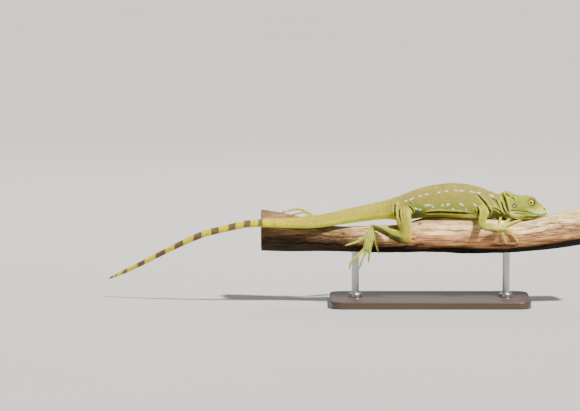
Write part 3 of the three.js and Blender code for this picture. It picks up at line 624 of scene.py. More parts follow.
def colour_with_painted_light(anatomy, points, normal, labels):
    """The animal's colour at each point, with its painted shade and painted light, as linear light."""
    c = settings().colours
    x, _, z = points.T
    aside, rise = anatomy.offset(points)
    trunk, head = anatomy.among(labels, TRUNK), anatomy.among(labels, HEAD)
    limbs = ~(trunk | head)
    skin = np.where(limbs[:, None], leg_colour(anatomy, points, normal, labels), trunk_colour(points, rise))
    skin = np.where(head[:, None], head_colour(points), skin)
    speckle = 1
    for strength, width, start in SPECKLE:
        speckle = speckle + strength * ripple(points, width, start)
    skin = skin * speckle[:, None]

    # Painted shade and painted light in soft patches, and the one dark mark of the back
    for tx, tz, half_long, half_high, name, amount, where in PAINTED_LIGHT_SHADE_AND_MARKS:
        here = {"body": trunk, "head": head, "limb": limbs}[where]
        tone = np.exp(-((x - tx) / half_long) ** 2 - ((z - tz) / half_high) ** 2)
        skin = mix(skin, getattr(c, name), amount * tone * here)
    # Painted shade under the neck, in the near black of the folds
    neck_painted_shade = ramp(108.3 - 0.3 * (x - 68.6) - z, -0.3, 2.6) * ramp(x, 64.5, 67.5) * (1 - ramp(x, 86, 90))
    skin = mix(skin, c.fold, 0.66 * neck_painted_shade * (head | trunk))

    on_side = np.abs(aside) > 2.5
    ragged = 0.28 * ripple(points, 1.6, 9.0)
    for cx, cz, radius in CURLS:
        ring = (np.hypot(x - cx, z - cz) - radius + 0.3 * ripple(points, 2.0, 4.0)) / 0.45
        skin = mix(skin, c.shade, 0.6 * np.exp(-ring ** 2) * ramp(z - cz, -1.6, -0.4) * on_side * trunk)
    for mx, mz, half_long, half_high, slope in UPPER_MARKS + LOWER_MARKS:
        spot = np.hypot((x - mx) / half_long, (z - mz - slope * (x - mx)) / (0.8 * half_high)) + ragged
        if mz < 113 and mx < 5:
            skin = mix(skin, srgb(60, 214, 140), 0.6 * (1 - ramp(spot, 1.0, 1.7)) * on_side * trunk)
        skin = mix(skin, c.mark, (1 - ramp(spot, 0.75, 1.1)) * on_side * (trunk | (z > 108)))
    for mx, mz in TAIL_MARKS:
        spot = np.hypot(x - mx, z - mz)
        skin = mix(skin, c.fold_edge, 0.6 * (1 - ramp(spot, 0.6, 1.2)) * trunk)

    uneven = 0.9 + 0.1 * ripple(points, 3.5, 6.0)
    # Painted light on the ridges beside each fold and painted shade in its bottom
    for near, depth in fold_lines(points, head | trunk):
        strength = np.minimum(1.0, depth / 0.65) * uneven
        skin = mix(skin, c.fold_edge, 0.66 * strength * np.exp(-((near - 2.4) / 0.9) ** 2))
        skin = mix(skin, c.fold, 1.1 * strength * np.exp(-(near / 1.3) ** 3))
    # Painted shade in the cup round the ear drum
    skin = mix(skin, srgb(88, 70, 26), head * (1 - ramp(from_ear(points), 2.2, 3.0)))
    # Painted shade in the nostril
    skin = mix(skin, srgb(50, 40, 20), head * (1 - ramp(from_nostril(points), 0.9, 1.5)))
    # Painted shade along the line of the mouth
    lips = np.exp(-((z - height_on(MOUTH, x)) / 0.45) ** 2) * ramp(x, 97.5, 100)
    return np.clip(mix(skin, c.fold, 0.8 * head * lips), 0.0, 1.0)


def paint(mesh, values):
    """Gives every point of a mesh its colour."""
    layer = mesh.color_attributes.new("Markings", "FLOAT_COLOR", "POINT")
    rgba = np.ones((len(mesh.vertices), 4), np.float32)
    rgba[:, :3] = values
    layer.data.foreach_set("color", rgba.ravel())


# Finishes

def add_node(tree, kind, inputs=(), **properties):
    """A shader node, with each input given as a value or as the output that feeds it."""
    node = tree.nodes.new("ShaderNode" + kind)
    for name, value in properties.items():
        setattr(node, name, value)
    for socket, value in dict(inputs).items():
        if isinstance(value, bpy.types.NodeSocket):
            tree.links.new(value, node.inputs[socket])
        else:
            node.inputs[socket].default_value = value
    return node


def new_group(name, sockets):
    """A shared group with its sockets, each given as a name, a kind and whether it goes in or out."""
    group = bpy.data.node_groups.new(name, "ShaderNodeTree")
    for label, kind, way in sockets:
        group.interface.new_socket(name=label, in_out=way, socket_type="NodeSocket" + kind)
    return group, group.nodes.new("NodeGroupInput").outputs, group.nodes.new("NodeGroupOutput").inputs


def nodes_of(name, roughness, **constant):
    """A new material and its shader, with the values that are the same all over set on the shader."""
    material = bpy.data.materials.new(name)
    material.use_nodes = True
    shader = material.node_tree.nodes["Principled BSDF"]
    shader.inputs["Roughness"].default_value = roughness
    for socket, value in constant.items():
        shader.inputs[socket.replace("_", " ")].default_value = value
    return material, material.node_tree, shader


def grain_group():
    """A shared group that varies a colour by a fine grain and gives a height for its bumps."""
    if "Fine grain" in bpy.data.node_groups:
        return bpy.data.node_groups["Fine grain"]
    group, start, end = new_group("Fine grain", (
        ("Colour", "Color", "INPUT"), ("Scale", "Float", "INPUT"), ("Stretch", "Vector", "INPUT"),
        ("Amount", "Float", "INPUT"), ("Colour", "Color", "OUTPUT"), ("Height", "Float", "OUTPUT")))
    place = add_node(group, "TexCoord").outputs["Object"]
    stretch = add_node(group, "VectorMath", {0: place, 1: start["Stretch"]}, operation="MULTIPLY")
    noise = add_node(group, "TexNoise", {"Vector": stretch.outputs[0], "Scale": start["Scale"],
                                         "Detail": 7.0, "Roughness": 0.6}).outputs["Fac"]
    centre = add_node(group, "Math", {0: noise, 1: 0.5}, operation="SUBTRACT")
    scaled = add_node(group, "Math", {0: centre.outputs[0], 1: start["Amount"], 2: 1.0},
                      operation="MULTIPLY_ADD")
    tint = add_node(group, "VectorMath", {0: start["Colour"], "Scale": scaled.outputs[0]}, operation="SCALE")
    group.links.new(tint.outputs[0], end["Colour"])
    group.links.new(noise, end["Height"])
    return group


def add_grain(tree, tone, scale, stretch, amount):
    """The grain's colour and height over a tone, which is a colour or the output that gives one."""
    grain = add_node(tree, "Group", {"Colour": tone, "Scale": scale, "Stretch": stretch, "Amount": amount},
                     node_tree=grain_group())
    return grain.outputs["Colour"], grain.outputs["Height"]


def painted(tree):
    """The colours that the mesh's points were given."""
    return add_node(tree, "VertexColor", layer_name="Markings").outputs["Color"]


def add_bump(tree, height, shader, strength, distance):
    bump = add_node(tree, "Bump", {"Strength": strength, "Distance": distance, "Height": height})
    tree.links.new(bump.outputs["Normal"], shader.inputs["Normal"])


def grained(name, tone, roughness, grain, bump=None, **constant):
    """A finish of one tone, or of the colours painted on its points where there is none, with a grain and its
    bumps.
    """
    if name in bpy.data.materials:
        return bpy.data.materials[name]
    material, tree, shader = nodes_of(name, roughness, **constant)
    colour_out, height = add_grain(tree, (*srgb(*tone), 1) if tone else painted(tree), *grain)
    tree.links.new(colour_out, shader.inputs["Base Color"])
    if bump:
        add_bump(tree, height, shader, *bump)
    return material


def skin_material():
    return grained("Skin", None, 0.62, (900.0, (1, 1, 1), 0.35), (0.5, 0.1 * MM), Specular_IOR_Level=0.25)


def scale_material():
    return grained("Scales", None, 0.48, (900.0, (1, 1, 1), 0.35), (0.25, 0.1 * MM), Specular_IOR_Level=0.3)


# The skin

def closed_flesh():
    """Every node of flesh as one closed mesh, with the eye sockets filled."""
    whole = bmesh.new()
    for node in FLESH:
        part = merged_copy(node)
        part.normal_update()
        for vert in part.verts:
            vert.co += vert.normal * SEAM
        mesh = as_mesh("part", part)
        whole.from_mesh(mesh)
        bpy.data.meshes.remove(mesh)
    for side in SIDES.values():
        place = Matrix.Translation(Vector(eye_middle(side) * MM))
        bmesh.ops.create_icosphere(whole, subdivisions=4, radius=LID_RADIUS * MM + SEAM, matrix=place)
    for middle, half in PADS:
        place = Matrix.Translation(Vector(middle) * MM) @ Matrix.Diagonal((*(Vector(half) * MM), 1.0))
        bmesh.ops.create_icosphere(whole, subdivisions=3, radius=1.0, matrix=place)
    remesh = {"mode": "VOXEL", "voxel_size": settings().skin.voxel, "adaptivity": 0.0}
    made = modified(as_mesh("flesh", whole), "Skin", [("REMESH", remesh)])
    bm = bmesh.new()
    bm.from_mesh(made)
    keep_largest(bm)
    bm.to_mesh(made)
    bm.free()
    return made


def keep_largest(bm):
    """Drops every closed surface but the largest, such as a pocket left inside."""
    seen, groups = set(), []
    for start in bm.verts:
        if start in seen:
            continue
        stack, group = [start], []
        seen.add(start)
        while stack:
            vert = stack.pop()
            group.append(vert)
            for edge in vert.link_edges:
                other = edge.other_vert(vert)
                if other not in seen:
                    seen.add(other)
                    stack.append(other)
        groups.append(group)
    groups.sort(key=len, reverse=True)
    loose = [vert for group in groups[1:] for vert in group]
    bmesh.ops.delete(bm, geom=loose, context="VERTS")


def relax(co, edges, weight, passes):
    """Smooths points towards their neighbours by a weight for each."""
    count = np.bincount(edges.ravel(), minlength=len(co)).clip(1)
    for _ in range(passes):
        total = np.zeros_like(co)
        for c in range(3):
            total[:, c] = np.bincount(edges[:, 0], co[edges[:, 1], c], len(co))
            total[:, c] += np.bincount(edges[:, 1], co[edges[:, 0], c], len(co))
        co = co + weight[:, None] * (total / count[:, None] - co)
    return co


def make_skin(anatomy):
    """The skin's mesh, smoothed and sunk by the depth of the scales, and the node of each point."""
    mesh = closed_flesh()
    edges = read(mesh.edges, "vertices", 2)
    labels = anatomy.label(in_mm(mesh))
    digits = anatomy.among(labels, PAWS)
    co = relax(coordinates(mesh), edges, np.where(digits, 0.2, 0.5), 4)
    move_points(mesh, co)
    depth = SEAM + np.where(digits, 0.35, 1.0) * settings().skin.coat
    co = co - normals(mesh) * (depth * np.where(digits, 0.2, 1.0))[:, None]
    for place, reach, passes in SOFT_JOINTS:
        away = np.linalg.norm(co * 1000 - np.array(place), axis=1)
        weight = 0.5 * (1 - ramp(away, 0.55 * reach, reach)) * np.where(digits, 0.3, 1.0)
        near = np.flatnonzero(weight > 1e-4)
        touching = edges[np.isin(edges[:, 0], near) | np.isin(edges[:, 1], near)]
        co = relax(co, touching, weight, passes)
    move_points(mesh, co)
    shape_skin(mesh, anatomy, labels)
    return mesh, labels


def shape_skin(mesh, anatomy, labels):
    """Adds folds, the line of the mouth, eye openings, nostrils, loose skin and the ridges of the sole."""
    co, no = in_mm(mesh), normals(mesh)
    x, _, z = co.T
    head, trunk = anatomy.among(labels, HEAD), anatomy.among(labels, TRUNK)
    lift = np.zeros(len(co))
    for near, depth in fold_lines(co, head | trunk):
        lift += 1.2 * depth * (0.3 * np.exp(-((near - 2.5) / 1.3) ** 2) - np.exp(-(near / 1.2) ** 2))
    above_lip = z - height_on(MOUTH, x)
    open_here = head * ramp(x, 97.0, 100.5) * (np.abs(no[:, 2]) < 0.9)
    lift -= 0.65 * open_here * np.exp(-(above_lip / 0.55) ** 2)
    lift += 0.25 * open_here * np.exp(-((above_lip - 1.3) / 0.7) ** 2)
    nose = from_nostril(co)
    lift -= 0.9 * head * np.exp(-(nose / 0.9) ** 2)
    lift += 0.3 * head * np.exp(-((nose - 1.7) / 0.6) ** 2)
    lift += 0.12 * (trunk & (x > -45)) * ripple(co * np.array([1.0, 0.4, 0.4]), 3.2, 4.0)
    sole, wave = sole_ridges(anatomy, co, labels)
    lift += 0.16 * sole * wave
    co += no * lift[:, None]
    for side in SIDES.values():
        away = co - eye_middle(side)
        distance = np.linalg.norm(away, axis=1)
        spread = np.hypot((away[:, 0] - OPENING_X) / 3.95, (away[:, 2] - OPENING_Z) / 3.55)
        inside = (spread < 1.0) & (away[:, 1] * side > 0) & (distance < 8)
        co[inside] = (eye_middle(side) + unit(away) * 4.2)[inside]
    move_points(mesh, co * MM)


class Surface:
    """The finished skin, where rays meet it and which way it faces."""

    def __init__(self, mesh):
        corners = [face.vertices[:] for face in mesh.polygons]
        self.faces = BVHTree.FromPolygons([v.co[:] for v in mesh.vertices], corners)
        self.points = tree_of(in_mm(mesh))
        self.directions = normals(mesh)

    def hit(self, start, way, reach=0.05):
        """Where a ray from a start in metres meets the skin, or None."""
        place = self.faces.ray_cast(Vector(start), Vector(way), reach)[0]
        return None if place is None else np.array(place) * 1000

    def normals_at(self, points):
        """The skin's direction near each point, from its five nearest points."""
        nearest = ([i for _, i, _ in self.points.find_n(p, 5)] for p in points)
        return unit(np.array([sum(self.directions[i] for i in five) for five in nearest]))


# Scales

def template_of(bm):
    """A small closed bmesh as its points and triangles."""
    bmesh.ops.recalc_face_normals(bm, faces=bm.faces)
    bmesh.ops.triangulate(bm, faces=bm.faces)
    bm.verts.index_update()
    co = np.array([v.co[:] for v in bm.verts])
    faces = np.array([[v.index for v in f.verts] for f in bm.faces])
    bm.free()
    return co, faces


def shield(length, width, height, keel):
    """One scale: x back along the body, y across, z up, with its peak moved back by the keel."""
    bm = bmesh.new()
    bmesh.ops.create_cone(bm, cap_ends=False, segments=6, radius1=0.5, radius2=0.0, depth=height)
    bmesh.ops.holes_fill(bm, edges=[e for e in bm.edges if e.is_boundary], sides=6)
    bmesh.ops.poke(bm, faces=[f for f in bm.faces if len(f.verts) == 6])
    tip = max(bm.verts, key=lambda v: v.co.z)
    root = min(bm.verts, key=lambda v: v.co.z + 100 * (v.co.xy.length > 1e-4))
    tip.co.x = keel
    root.co.z -= height * 0.6
    bmesh.ops.scale(bm, vec=(length, width, 1.0), verts=bm.verts)
    bmesh.ops.translate(bm, vec=(0, 0, -tip.co.z + height * 0.85), verts=bm.verts)
    for vert in bm.verts:
        vert.co.z += 0.2 * vert.co.x
    return template_of(bm)


def tooth():
    """One tooth of the crest: a thin blade that leans back."""
    bm = bmesh.new()
    bmesh.ops.create_cone(bm, cap_ends=True, cap_tris=True, segments=6, radius1=0.5, radius2=0.12, depth=1.0)
    for vert in bm.verts:
        vert.co.y *= 0.42
        vert.co.z += 0.5
        vert.co.x += 0.42 * max(vert.co.z, 0.0) ** 1.4
    return template_of(bm)


def laid(name, template, points, normal, lie, sizes, colours, unwrap, shade=0.78):
    """Copies of a closed shape on the skin, each sized along, across and up, as one mesh with its map."""
    co, faces = template
    forward = unit(lie - normal * np.sum(lie * normal, axis=1, keepdims=True))
    across = np.cross(normal, forward)
    local = co[None, :, :] * np.stack(sizes, 1)[:, None, :]
    placed = (points[:, None, :] + local[..., 0:1] * forward[:, None, :]
              + local[..., 1:2] * across[:, None, :] + local[..., 2:3] * normal[:, None, :])
    count, per = len(points), len(co)
    every = (faces[None, :, :] + (np.arange(count) * per)[:, None, None]).reshape(-1, 3)
    mesh = bpy.data.meshes.new(name)
    mesh.vertices.add(count * per)
    mesh.vertices.foreach_set("co", (placed.reshape(-1, 3) * MM).astype(np.float32).ravel())
    mesh.loops.add(every.size)
    mesh.loops.foreach_set("vertex_index", every.astype(np.int32).ravel())
    mesh.polygons.add(len(every))
    mesh.polygons.foreach_set("loop_start", np.arange(0, every.size, 3, dtype=np.int32))
    mesh.update(calc_edges=True)
    # Painted shade: each copy darkens towards its foot by the shade share, which deepens the gaps between the
    # scales
    top = (co[:, 2] - co[:, 2].min()) / np.ptp(co[:, 2])
    edge = shade + (1 - shade) * top
    paint(mesh, (colours[:, None, :] * edge[None, :, None]).reshape(-1, 3))
    uv = mesh.uv_layers.new(name="OFBake")
    patch = 0.0015 * co[:, :2] / np.abs(co[:, :2]).max()
    where = (unwrap[:, None, :] + patch[None, :, :]).reshape(-1, 2)
    uv.data.foreach_set("uv", where[every.ravel()].astype(np.float32).ravel())
    return mesh


def unwrap_of(anatomy, points, labels):
    """A place for each point on an unwrap of the skin: length of a part against the turn round it."""
    out = np.zeros((len(points), 2))
    turn = np.arctan2(*anatomy.offset(points)) / (2 * math.pi) + 0.5
    for names, first, last, (left, low, wide, high) in UNWRAP:
        here = anatomy.among(labels, names)
        share = np.clip((points[:, 0] - first) / (last - first), 0, 1)
        out[here] = np.column_stack([left + wide * share, low + high * turn])[here]
    for column, (side, part) in enumerate((side, part) for side in SIDES for part in ARM + LEG):
        node = part + side
        here = anatomy.among(labels, [node])
        axis = unit(anatomy.middle[node] - anatomy.middle[root_of(part, side)])
        away = points[here] - anatomy.middle[node]
        share = np.clip(away @ axis / 56 + 0.5, 0, 1)
        first = unit(np.cross(axis, [0.3, 0.1, 1.0]))
        second = np.cross(axis, first)
        around = np.arctan2(away @ first, away @ second) / (2 * math.pi) + 0.5
        left, low = 0.34 + 0.105 * (column % 6), 0.02 + 0.16 * (column // 6)
        out[here] = np.column_stack([left + 0.095 * share, low + 0.14 * around])
    return out


def surface_samples(mesh, density, rng):
    """Random points on the skin, so many to each square mm."""
    mesh.calc_loop_triangles()
    corner = in_mm(mesh)[read(mesh.loop_triangles, "vertices", 3)]
    pick, a, b = scatter(corner, density, rng)
    return sum(w * corner[pick, i] for i, w in enumerate((1 - a - b, a, b)))


def spaced(points, gap, taken):
    """The places of points that keep a gap of their own from one another and from those already taken."""
    tree = tree_of(points)
    free = np.ones(len(points), bool)
    for p, reach in zip(*taken):
        for _, i, _ in tree.find_range(p, reach):
            free[i] = False
    kept = []
    for i in range(len(points)):
        if free[i]:
            kept.append(i)
            for _, j, _ in tree.find_range(points[i], gap[i]):
                free[j] = False
    return np.array(kept, int)


def trunk_rows(anatomy, surface):
    """Scale roots in staggered rings from the nape to the tip of the tail."""
    s = settings().skin
    roots, directions, pitches = [], [], []
    distance, stagger = 1.0, 0.0
    while distance < anatomy.along[-1] - 1.0:
        middle, along = anatomy.at(distance)
        back = float(ramp(distance, 110.0, 150.0))
        pitch = 1000 * (s.body_pitch + (s.tail_pitch - s.body_pitch) * back)
        pitch *= 1.0 - 0.35 * float(ramp(distance, 330.0, 460.0))
        across = np.cross([0.0, 0.0, 1.0], along)
        across /= np.linalg.norm(across)
        up = np.cross(along, across)
        hits = [surface.hit(middle * MM, math.cos(angle) * up + math.sin(angle) * across)
                for angle in np.linspace(0, 2 * math.pi, 121)[:-1]]
        ring = [hit for hit in hits if hit is not None]
        if len(ring) > 20:
            closed = np.array(ring + ring[:1])
            length = np.concatenate([[0], np.cumsum(np.linalg.norm(np.diff(closed, axis=0), axis=1))])
            count = max(5, int(round(length[-1] / pitch)))
            places = (np.arange(count) + stagger) * length[-1] / count
            roots.append(np.column_stack([np.interp(places, length, closed[:, c]) for c in range(3)]))
            directions.append(np.tile(along, (count, 1)))
            pitches.append(np.full(count, pitch))
        distance += pitch * 0.84
        stagger = 0.5 - stagger
    return np.concatenate(roots), np.concatenate(directions), np.concatenate(pitches)


def in_folds(points):
    """True at the bottom of a fold, where the skin has no scales."""
    inside = np.zeros(len(points), bool)
    for near, depth in fold_lines(points, np.ones(len(points), bool)):
        inside |= (near < 0.7) & (depth > 0.6)
    return inside


def openings(points):
    """True where a scale would cover an eye, an ear drum or a nostril."""
    x, y, z = points.T
    eye = (np.hypot((x - EYE_X - 0.3) / 4.5, (z - EYE_Z + 0.4) / 4.1) < 1) & (np.abs(y) > EYE_Y)
    ear = (from_ear(points) < 2.35) & (np.abs(y) > 8)
    return eye | ear | (from_nostril(points) < 1.25)


def lip_rows(surface):
    """Roots of the large plates along both lips, closer together towards the corner of the mouth."""
    roots = []
    corner, snout = MOUTH[0][0], 127.6
    for side in SIDES.values():
        for above, pitch in ((1.05, 1.0), (-0.95, 1.05)):
            x = snout
            while x > corner:
                at_front = x > 124
                z = height_on(MOUTH, x) + above
                way = Vector((0.18 if at_front else 0.05, side, 0)).normalized()
                hit = surface.hit((x * MM - 0.004, 0, z * MM), way, 0.03)
                if hit is not None:
                    roots.append(hit)
                x -= pitch * (1.8 if at_front else 1.75 + 0.95 * float(ramp(x, 100, 122)))
    return np.array(roots)


def make_scales(anatomy, mesh, surface):
    """Rings of scales on the trunk and tail, plates on the lips, and scattered scales on head and legs."""
    s = settings().skin
    rng = np.random.default_rng(s.seed)
    flat, keeled = shield(1.2, 1.12, 0.5, 0.12), shield(1.36, 1.04, 0.55, 0.22)
    plate = shield(1.0, 1.0, 0.4, 0.0)

    def grow(name, template, roots, lie, pitch, stretch=(1.0, 1.0), height=0.55):
        """Makes a piece from one kind of scale, each with a tint and a size a little of its own."""
        normal = surface.normals_at(roots)
        label = anatomy.label(roots)
        way = anatomy.lie(roots, label) if lie is None else lie
        tint = colour_with_painted_light(anatomy, roots, normal, label) * (1 + 0.12 * rng.standard_normal(len(roots)))[:, None]
        vary = 1 + 0.06 * rng.standard_normal(len(roots))
        sizes = (pitch * stretch[0] * vary, pitch * stretch[1] * vary, pitch * height)
        made = laid(name, template, roots, normal, way, sizes, np.clip(tint, 0, 1),
                    unwrap_of(anatomy, roots, label))
        shown(name, made, scale_material())

    roots, lie, pitch = trunk_rows(anatomy, surface)
    bare = anatomy.among(anatomy.label(roots), LIMBS + HEAD) | in_folds(roots)
    roots, lie, pitch = roots[~bare], lie[~bare], pitch[~bare]
    front = roots[:, 0] > -44
    grow("body_scales", flat, roots[front], lie[front], pitch[front])
    grow("tail_scales", keeled, roots[~front], lie[~front], pitch[~front])
    lips = lip_rows(surface)
    broad = 1.35 + 0.75 * ramp(lips[:, 0], 100, 122)
    grow("lip_plates", plate, lips, np.tile([-1.0, 0.0, 0.0], (len(lips), 1)), broad, (1.42, 0.86), 0.24)
    taken = (np.concatenate([roots, lips]), np.concatenate([pitch * 0.8, broad * 0.62]))

    points = surface_samples(mesh, 10.0, rng)
    label = anatomy.label(points)
    keep = anatomy.among(label, HEAD + LIMBS) & ~openings(points) & ~in_folds(points)
    points, label = points[keep], label[keep]
    head, feet = anatomy.among(label, HEAD), anatomy.among(label, PAWS)
    top = ramp(points[:, 2], 112, 118) * ramp(points[:, 0], 100, 112)
    gap_on_legs = 1000 * s.limb_pitch * np.where(feet, 0.78, 1.0)
    gap = np.where(head, 1000 * s.head_pitch * (0.85 + 0.4 * top), gap_on_legs)
    around_eye = np.hypot(points[:, 0] - EYE_X, points[:, 2] - EYE_Z)
    gap = np.where(head & (around_eye < 6.5), 0.62, gap)
    kept = spaced(points, gap * 0.86, taken)
    points, gap, head = points[kept], gap[kept], head[kept]
    grow("head_scales", flat, points[head], None, gap[head] * 1.02, (1.0, 1.0), 0.5)
    grow("leg_scales", keeled, points[~head], None, gap[~head] * 1.08, (1.08, 1.08), 0.42)


def make_crest(anatomy, surface):
    """The row of teeth along the middle of the back and the root of the tail."""
    s = settings().skin
    first, last = 7.0, 265.0
    distances = np.arange(first, last, s.crest_pitch * 1000)
    middles, ways = zip(*(anatomy.at(distance) for distance in distances))
    roots, ways = np.array([surface.hit(middle * MM, (0, 0, 1)) for middle in middles]), np.array(ways)
    normal = unit(np.cross(ways, np.cross([0.0, 0.0, 1.0], ways)))
    back = -roots[:, 0]
    height = 1000 * s.crest_height * (0.35 + 0.65 * ramp(back, -76, -40)) * (1 - 0.55 * ramp(back, 20, 170))
    label = anatomy.label(roots)
    colours = colour_with_painted_light(anatomy, roots, normal, label) * 0.96
    sizes = (np.full(len(roots), 3.5), np.full(len(roots), 1.7), height + 0.3)
    made = laid("crest_teeth", tooth(), roots - normal * 0.25, normal, ways, sizes, colours,
                unwrap_of(anatomy, roots, label), 0.85)
    shown("crest_teeth", made, scale_material())


# Eyes, ears and claws

def eye_material():
    """A dark pupil in a yellow iris, as rings round the middle of the eye in the side view."""
    material, tree, shader = nodes_of("Eye", 0.3, Coat_Weight=0.6, Coat_Roughness=0.06)
    pupil = ((EYE_X - 0.2) * MM, 0.0, (EYE_Z - 0.1) * MM)
    place = add_node(tree, "TexCoord").outputs["Object"]
    shift = add_node(tree, "VectorMath", {0: place, 1: pupil}, operation="SUBTRACT")
    flat = add_node(tree, "VectorMath", {0: shift.outputs[0], 1: (1000.0, 0.0, 1000.0)}, operation="MULTIPLY")
    length = add_node(tree, "VectorMath", {0: flat.outputs[0]}, operation="LENGTH")
    scaled = add_node(tree, "Math", {0: length.outputs["Value"], 1: 0.25}, operation="MULTIPLY")
    rings = add_node(tree, "ValToRGB", {"Fac": scaled.outputs[0]})
    # Each ring's place is its radius as a share of 4 mm
    # The outer dark rings are partly the eye's own dark edge and partly painted shade under the lids
    stops = ((0.0, (4, 3, 3)), (0.31, (6, 4, 3)), (0.35, (170, 110, 8)), (0.4, (255, 232, 50)),
             (0.55, (255, 240, 90)), (0.62, (226, 126, 24)), (0.68, (96, 40, 12)), (0.74, (24, 12, 6)))
    elements = rings.color_ramp.elements
    elements[1].position = stops[-1][0]
    for position, _ in stops[1:-1]:
        elements.new(position)
    for element, (_, value) in zip(elements, stops):
        element.color = (*srgb(*value), 1)
    tone, _ = add_grain(tree, rings.outputs["Color"], 2600.0, (1, 1, 1), 0.5)
    tree.links.new(tone, shader.inputs["Base Color"])
    return material


def make_eyes():
    material = eye_material()
    for name, side in SIDES.items():
        bm = bmesh.new()
        place = Matrix.Translation(Vector(eye_middle(side) * MM))
        bmesh.ops.create_icosphere(bm, subdivisions=5, radius=EYE_RADIUS * MM, matrix=place)
        obj = shown("eyeball_" + name, closed_mesh("eyeball_" + name, bm), material)
        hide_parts("eye_" + name)


def make_lids(anatomy):
    """Three rings of fine beaded scales round each eye, outside a smooth rolled edge."""
    lid = srgb(150, 128, 60)
    for name, side in SIDES.items():
        middle = eye_middle(side)

        def rim(turn, open_x, open_z, radius):
            """A point of an oval round the opening, at a distance from the middle of the eye."""
            x, z = open_x * math.cos(turn) + OPENING_X, open_z * math.sin(turn) + OPENING_Z
            return middle + np.array([x, side * math.sqrt(max(radius ** 2 - x * x - z * z, 0.01)), z])

        bm = bmesh.new()
        rings = []
        for turn in 2 * math.pi * np.arange(64) / 64:
            at = rim(turn, 3.98, 3.58, 5.08)
            out = Vector(unit(at - middle))
            sideways = Vector(unit(np.array([math.cos(turn), 0.0, math.sin(turn)])))
            ring = bmesh.ops.create_circle(bm, segments=8, radius=0.34 * MM)["verts"]
            for vert in ring:
                vert.co = Vector(at * MM) + (sideways * vert.co.x + out * vert.co.y)
            rings.append(ring)
        for pair in zip(rings, rings[1:] + rings[:1]):
            bridge(bm, pair)
        made = closed_mesh("eyelid_" + name, bm)
        paint(made, lid)
        shown("eyelid_" + name, made, skin_material())

        roots, pitch = [], []
        for row, (grow, radius, count) in enumerate(((1.0, 5.45, 32), (1.2, 5.66, 36), (1.4, 5.7, 40))):
            for i in range(count):
                turn = 2 * math.pi * (i + 0.5 * (row % 2)) / count
                roots.append(rim(turn, 4.1 * grow, 3.7 * grow, radius))
                pitch.append(0.72 + 0.08 * row)
        roots, pitch = np.array(roots), np.array(pitch)
        normal = unit(roots - middle)
        label = np.full(len(roots), anatomy.names.index("head"))
        colours = 0.7 * colour_with_painted_light(anatomy, roots, normal, label) + 0.3 * np.array(lid)
        lie = np.tile([-1.0, 0.0, 0.0], (len(roots), 1))
        beads = laid("lid_scales_" + name, shield(1.1, 1.1, 0.7, 0.0), roots, normal, lie,
                     (pitch, pitch, pitch * 0.7), colours, unwrap_of(anatomy, roots, label), 0.7)
        shown("lid_scales_" + name, beads, scale_material())


def make_ears():
    """The ear drums: a thin, slightly sunken skin in each cup, with a smooth rim."""
    half_x, half_y, half_z = 1.75 * MM, 0.55 * MM, 1.9 * MM
    for name, side in SIDES.items():
        bm = bmesh.new()
        bmesh.ops.create_uvsphere(bm, u_segments=28, v_segments=14, radius=1.0)
        bmesh.ops.scale(bm, vec=(half_x, half_y, half_z), verts=bm.verts)
        for vert in bm.verts:
            reach = math.hypot(vert.co.x / half_x, vert.co.z / half_z)
            if vert.co.y * side > 0:
                vert.co.y -= side * 0.5 * MM * max(1 - reach, 0.0) ** 1.5
        bmesh.ops.translate(bm, vec=(EAR[0] * MM, side * (EAR[1] - 2.3) * MM, EAR[2] * MM), verts=bm.verts)
        made = closed_mesh("ear_drum_" + name, bm)
        co = in_mm(made)
        edge = from_ear(co) + 0.3 * ripple(co, 0.8)
        paint(made, mix(srgb(226, 176, 150), srgb(110, 74, 40), ramp(edge, 0.3, 1.7)))
        shown("ear_drum_" + name, made, skin_material())


def claw_tips(anatomy, node, start):
    """The ends of a hand's or foot's digits, each with the middle of its last knuckle."""
    co = in_mm(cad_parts[node].data)
    around = anatomy.points[anatomy.among(anatomy.labels, [node])]
    reach = np.linalg.norm(co - start, axis=1)
    reach_around = np.linalg.norm(around - start, axis=1)
    ends = []
    for i in np.argsort(-reach):
        away = np.linalg.norm(around - co[i], axis=1)
        outermost = reach[i] > reach_around[away < 6.0].max() - 0.4
        if outermost and all(np.linalg.norm(co[i] - end) > 5 for end, _ in ends):
            ends.append((co[i], around[(away > 3.4) & (away < 5.4)].mean(0)))
    return ends[:5]


def make_claws(anatomy):
    material = grained("Claw", (96, 74, 48), 0.3, (400.0, (1, 1, 1), 0.8), (0.2, 0.1 * MM), Coat_Weight=0.3)
    bm = bmesh.new()
    for side in SIDES:
        for part in DIGITS_FROM:
            for tip, knuckle in claw_tips(anatomy, part + side, anatomy.middle[root_of(part, side)]):
                add_claw(bm, tip, unit(knuckle - tip))
    shown("claws", closed_mesh("claws", bm), material)


def add_claw(bm, toe_end, back):
    """A cone from inside the toe to past its end, arched so that its tip points down."""
    long, past_toe, rings_along = 4.6, 1.4, 6
    tip = toe_end - past_toe * back
    axis, down = Vector((-back).tolist()), Vector((0, 0, -1))
    sag = 0.6 * (down - axis * down.dot(axis))
    turn = axis.to_track_quat("Z", "Y").to_matrix()
    rings = []
    for step in range(rings_along):
        share = step / (rings_along - 1)
        middle = Vector((tip + back * long * (1 - share)).tolist()) - sag * math.sin(math.pi * share)
        radius = 0.62 * (1 - share) ** 0.75 + 0.06
        ring = bmesh.ops.create_circle(bm, segments=10, radius=radius * MM)["verts"]
        for vert in ring:
            vert.co = turn @ vert.co + middle * MM
        rings.append(ring)
    for pair in zip(rings[:-1], rings[1:]):
        bridge(bm, pair)
    for ring in (rings[0], rings[-1]):
        bmesh.ops.contextual_create(bm, geom=ring)


# The branch and the stand

# Edges of the stand that turn by more than this stay sharp
SHARP = math.radians(40)
BEVEL = {"profile": 0.5, "affect": "EDGES", "material": -1}


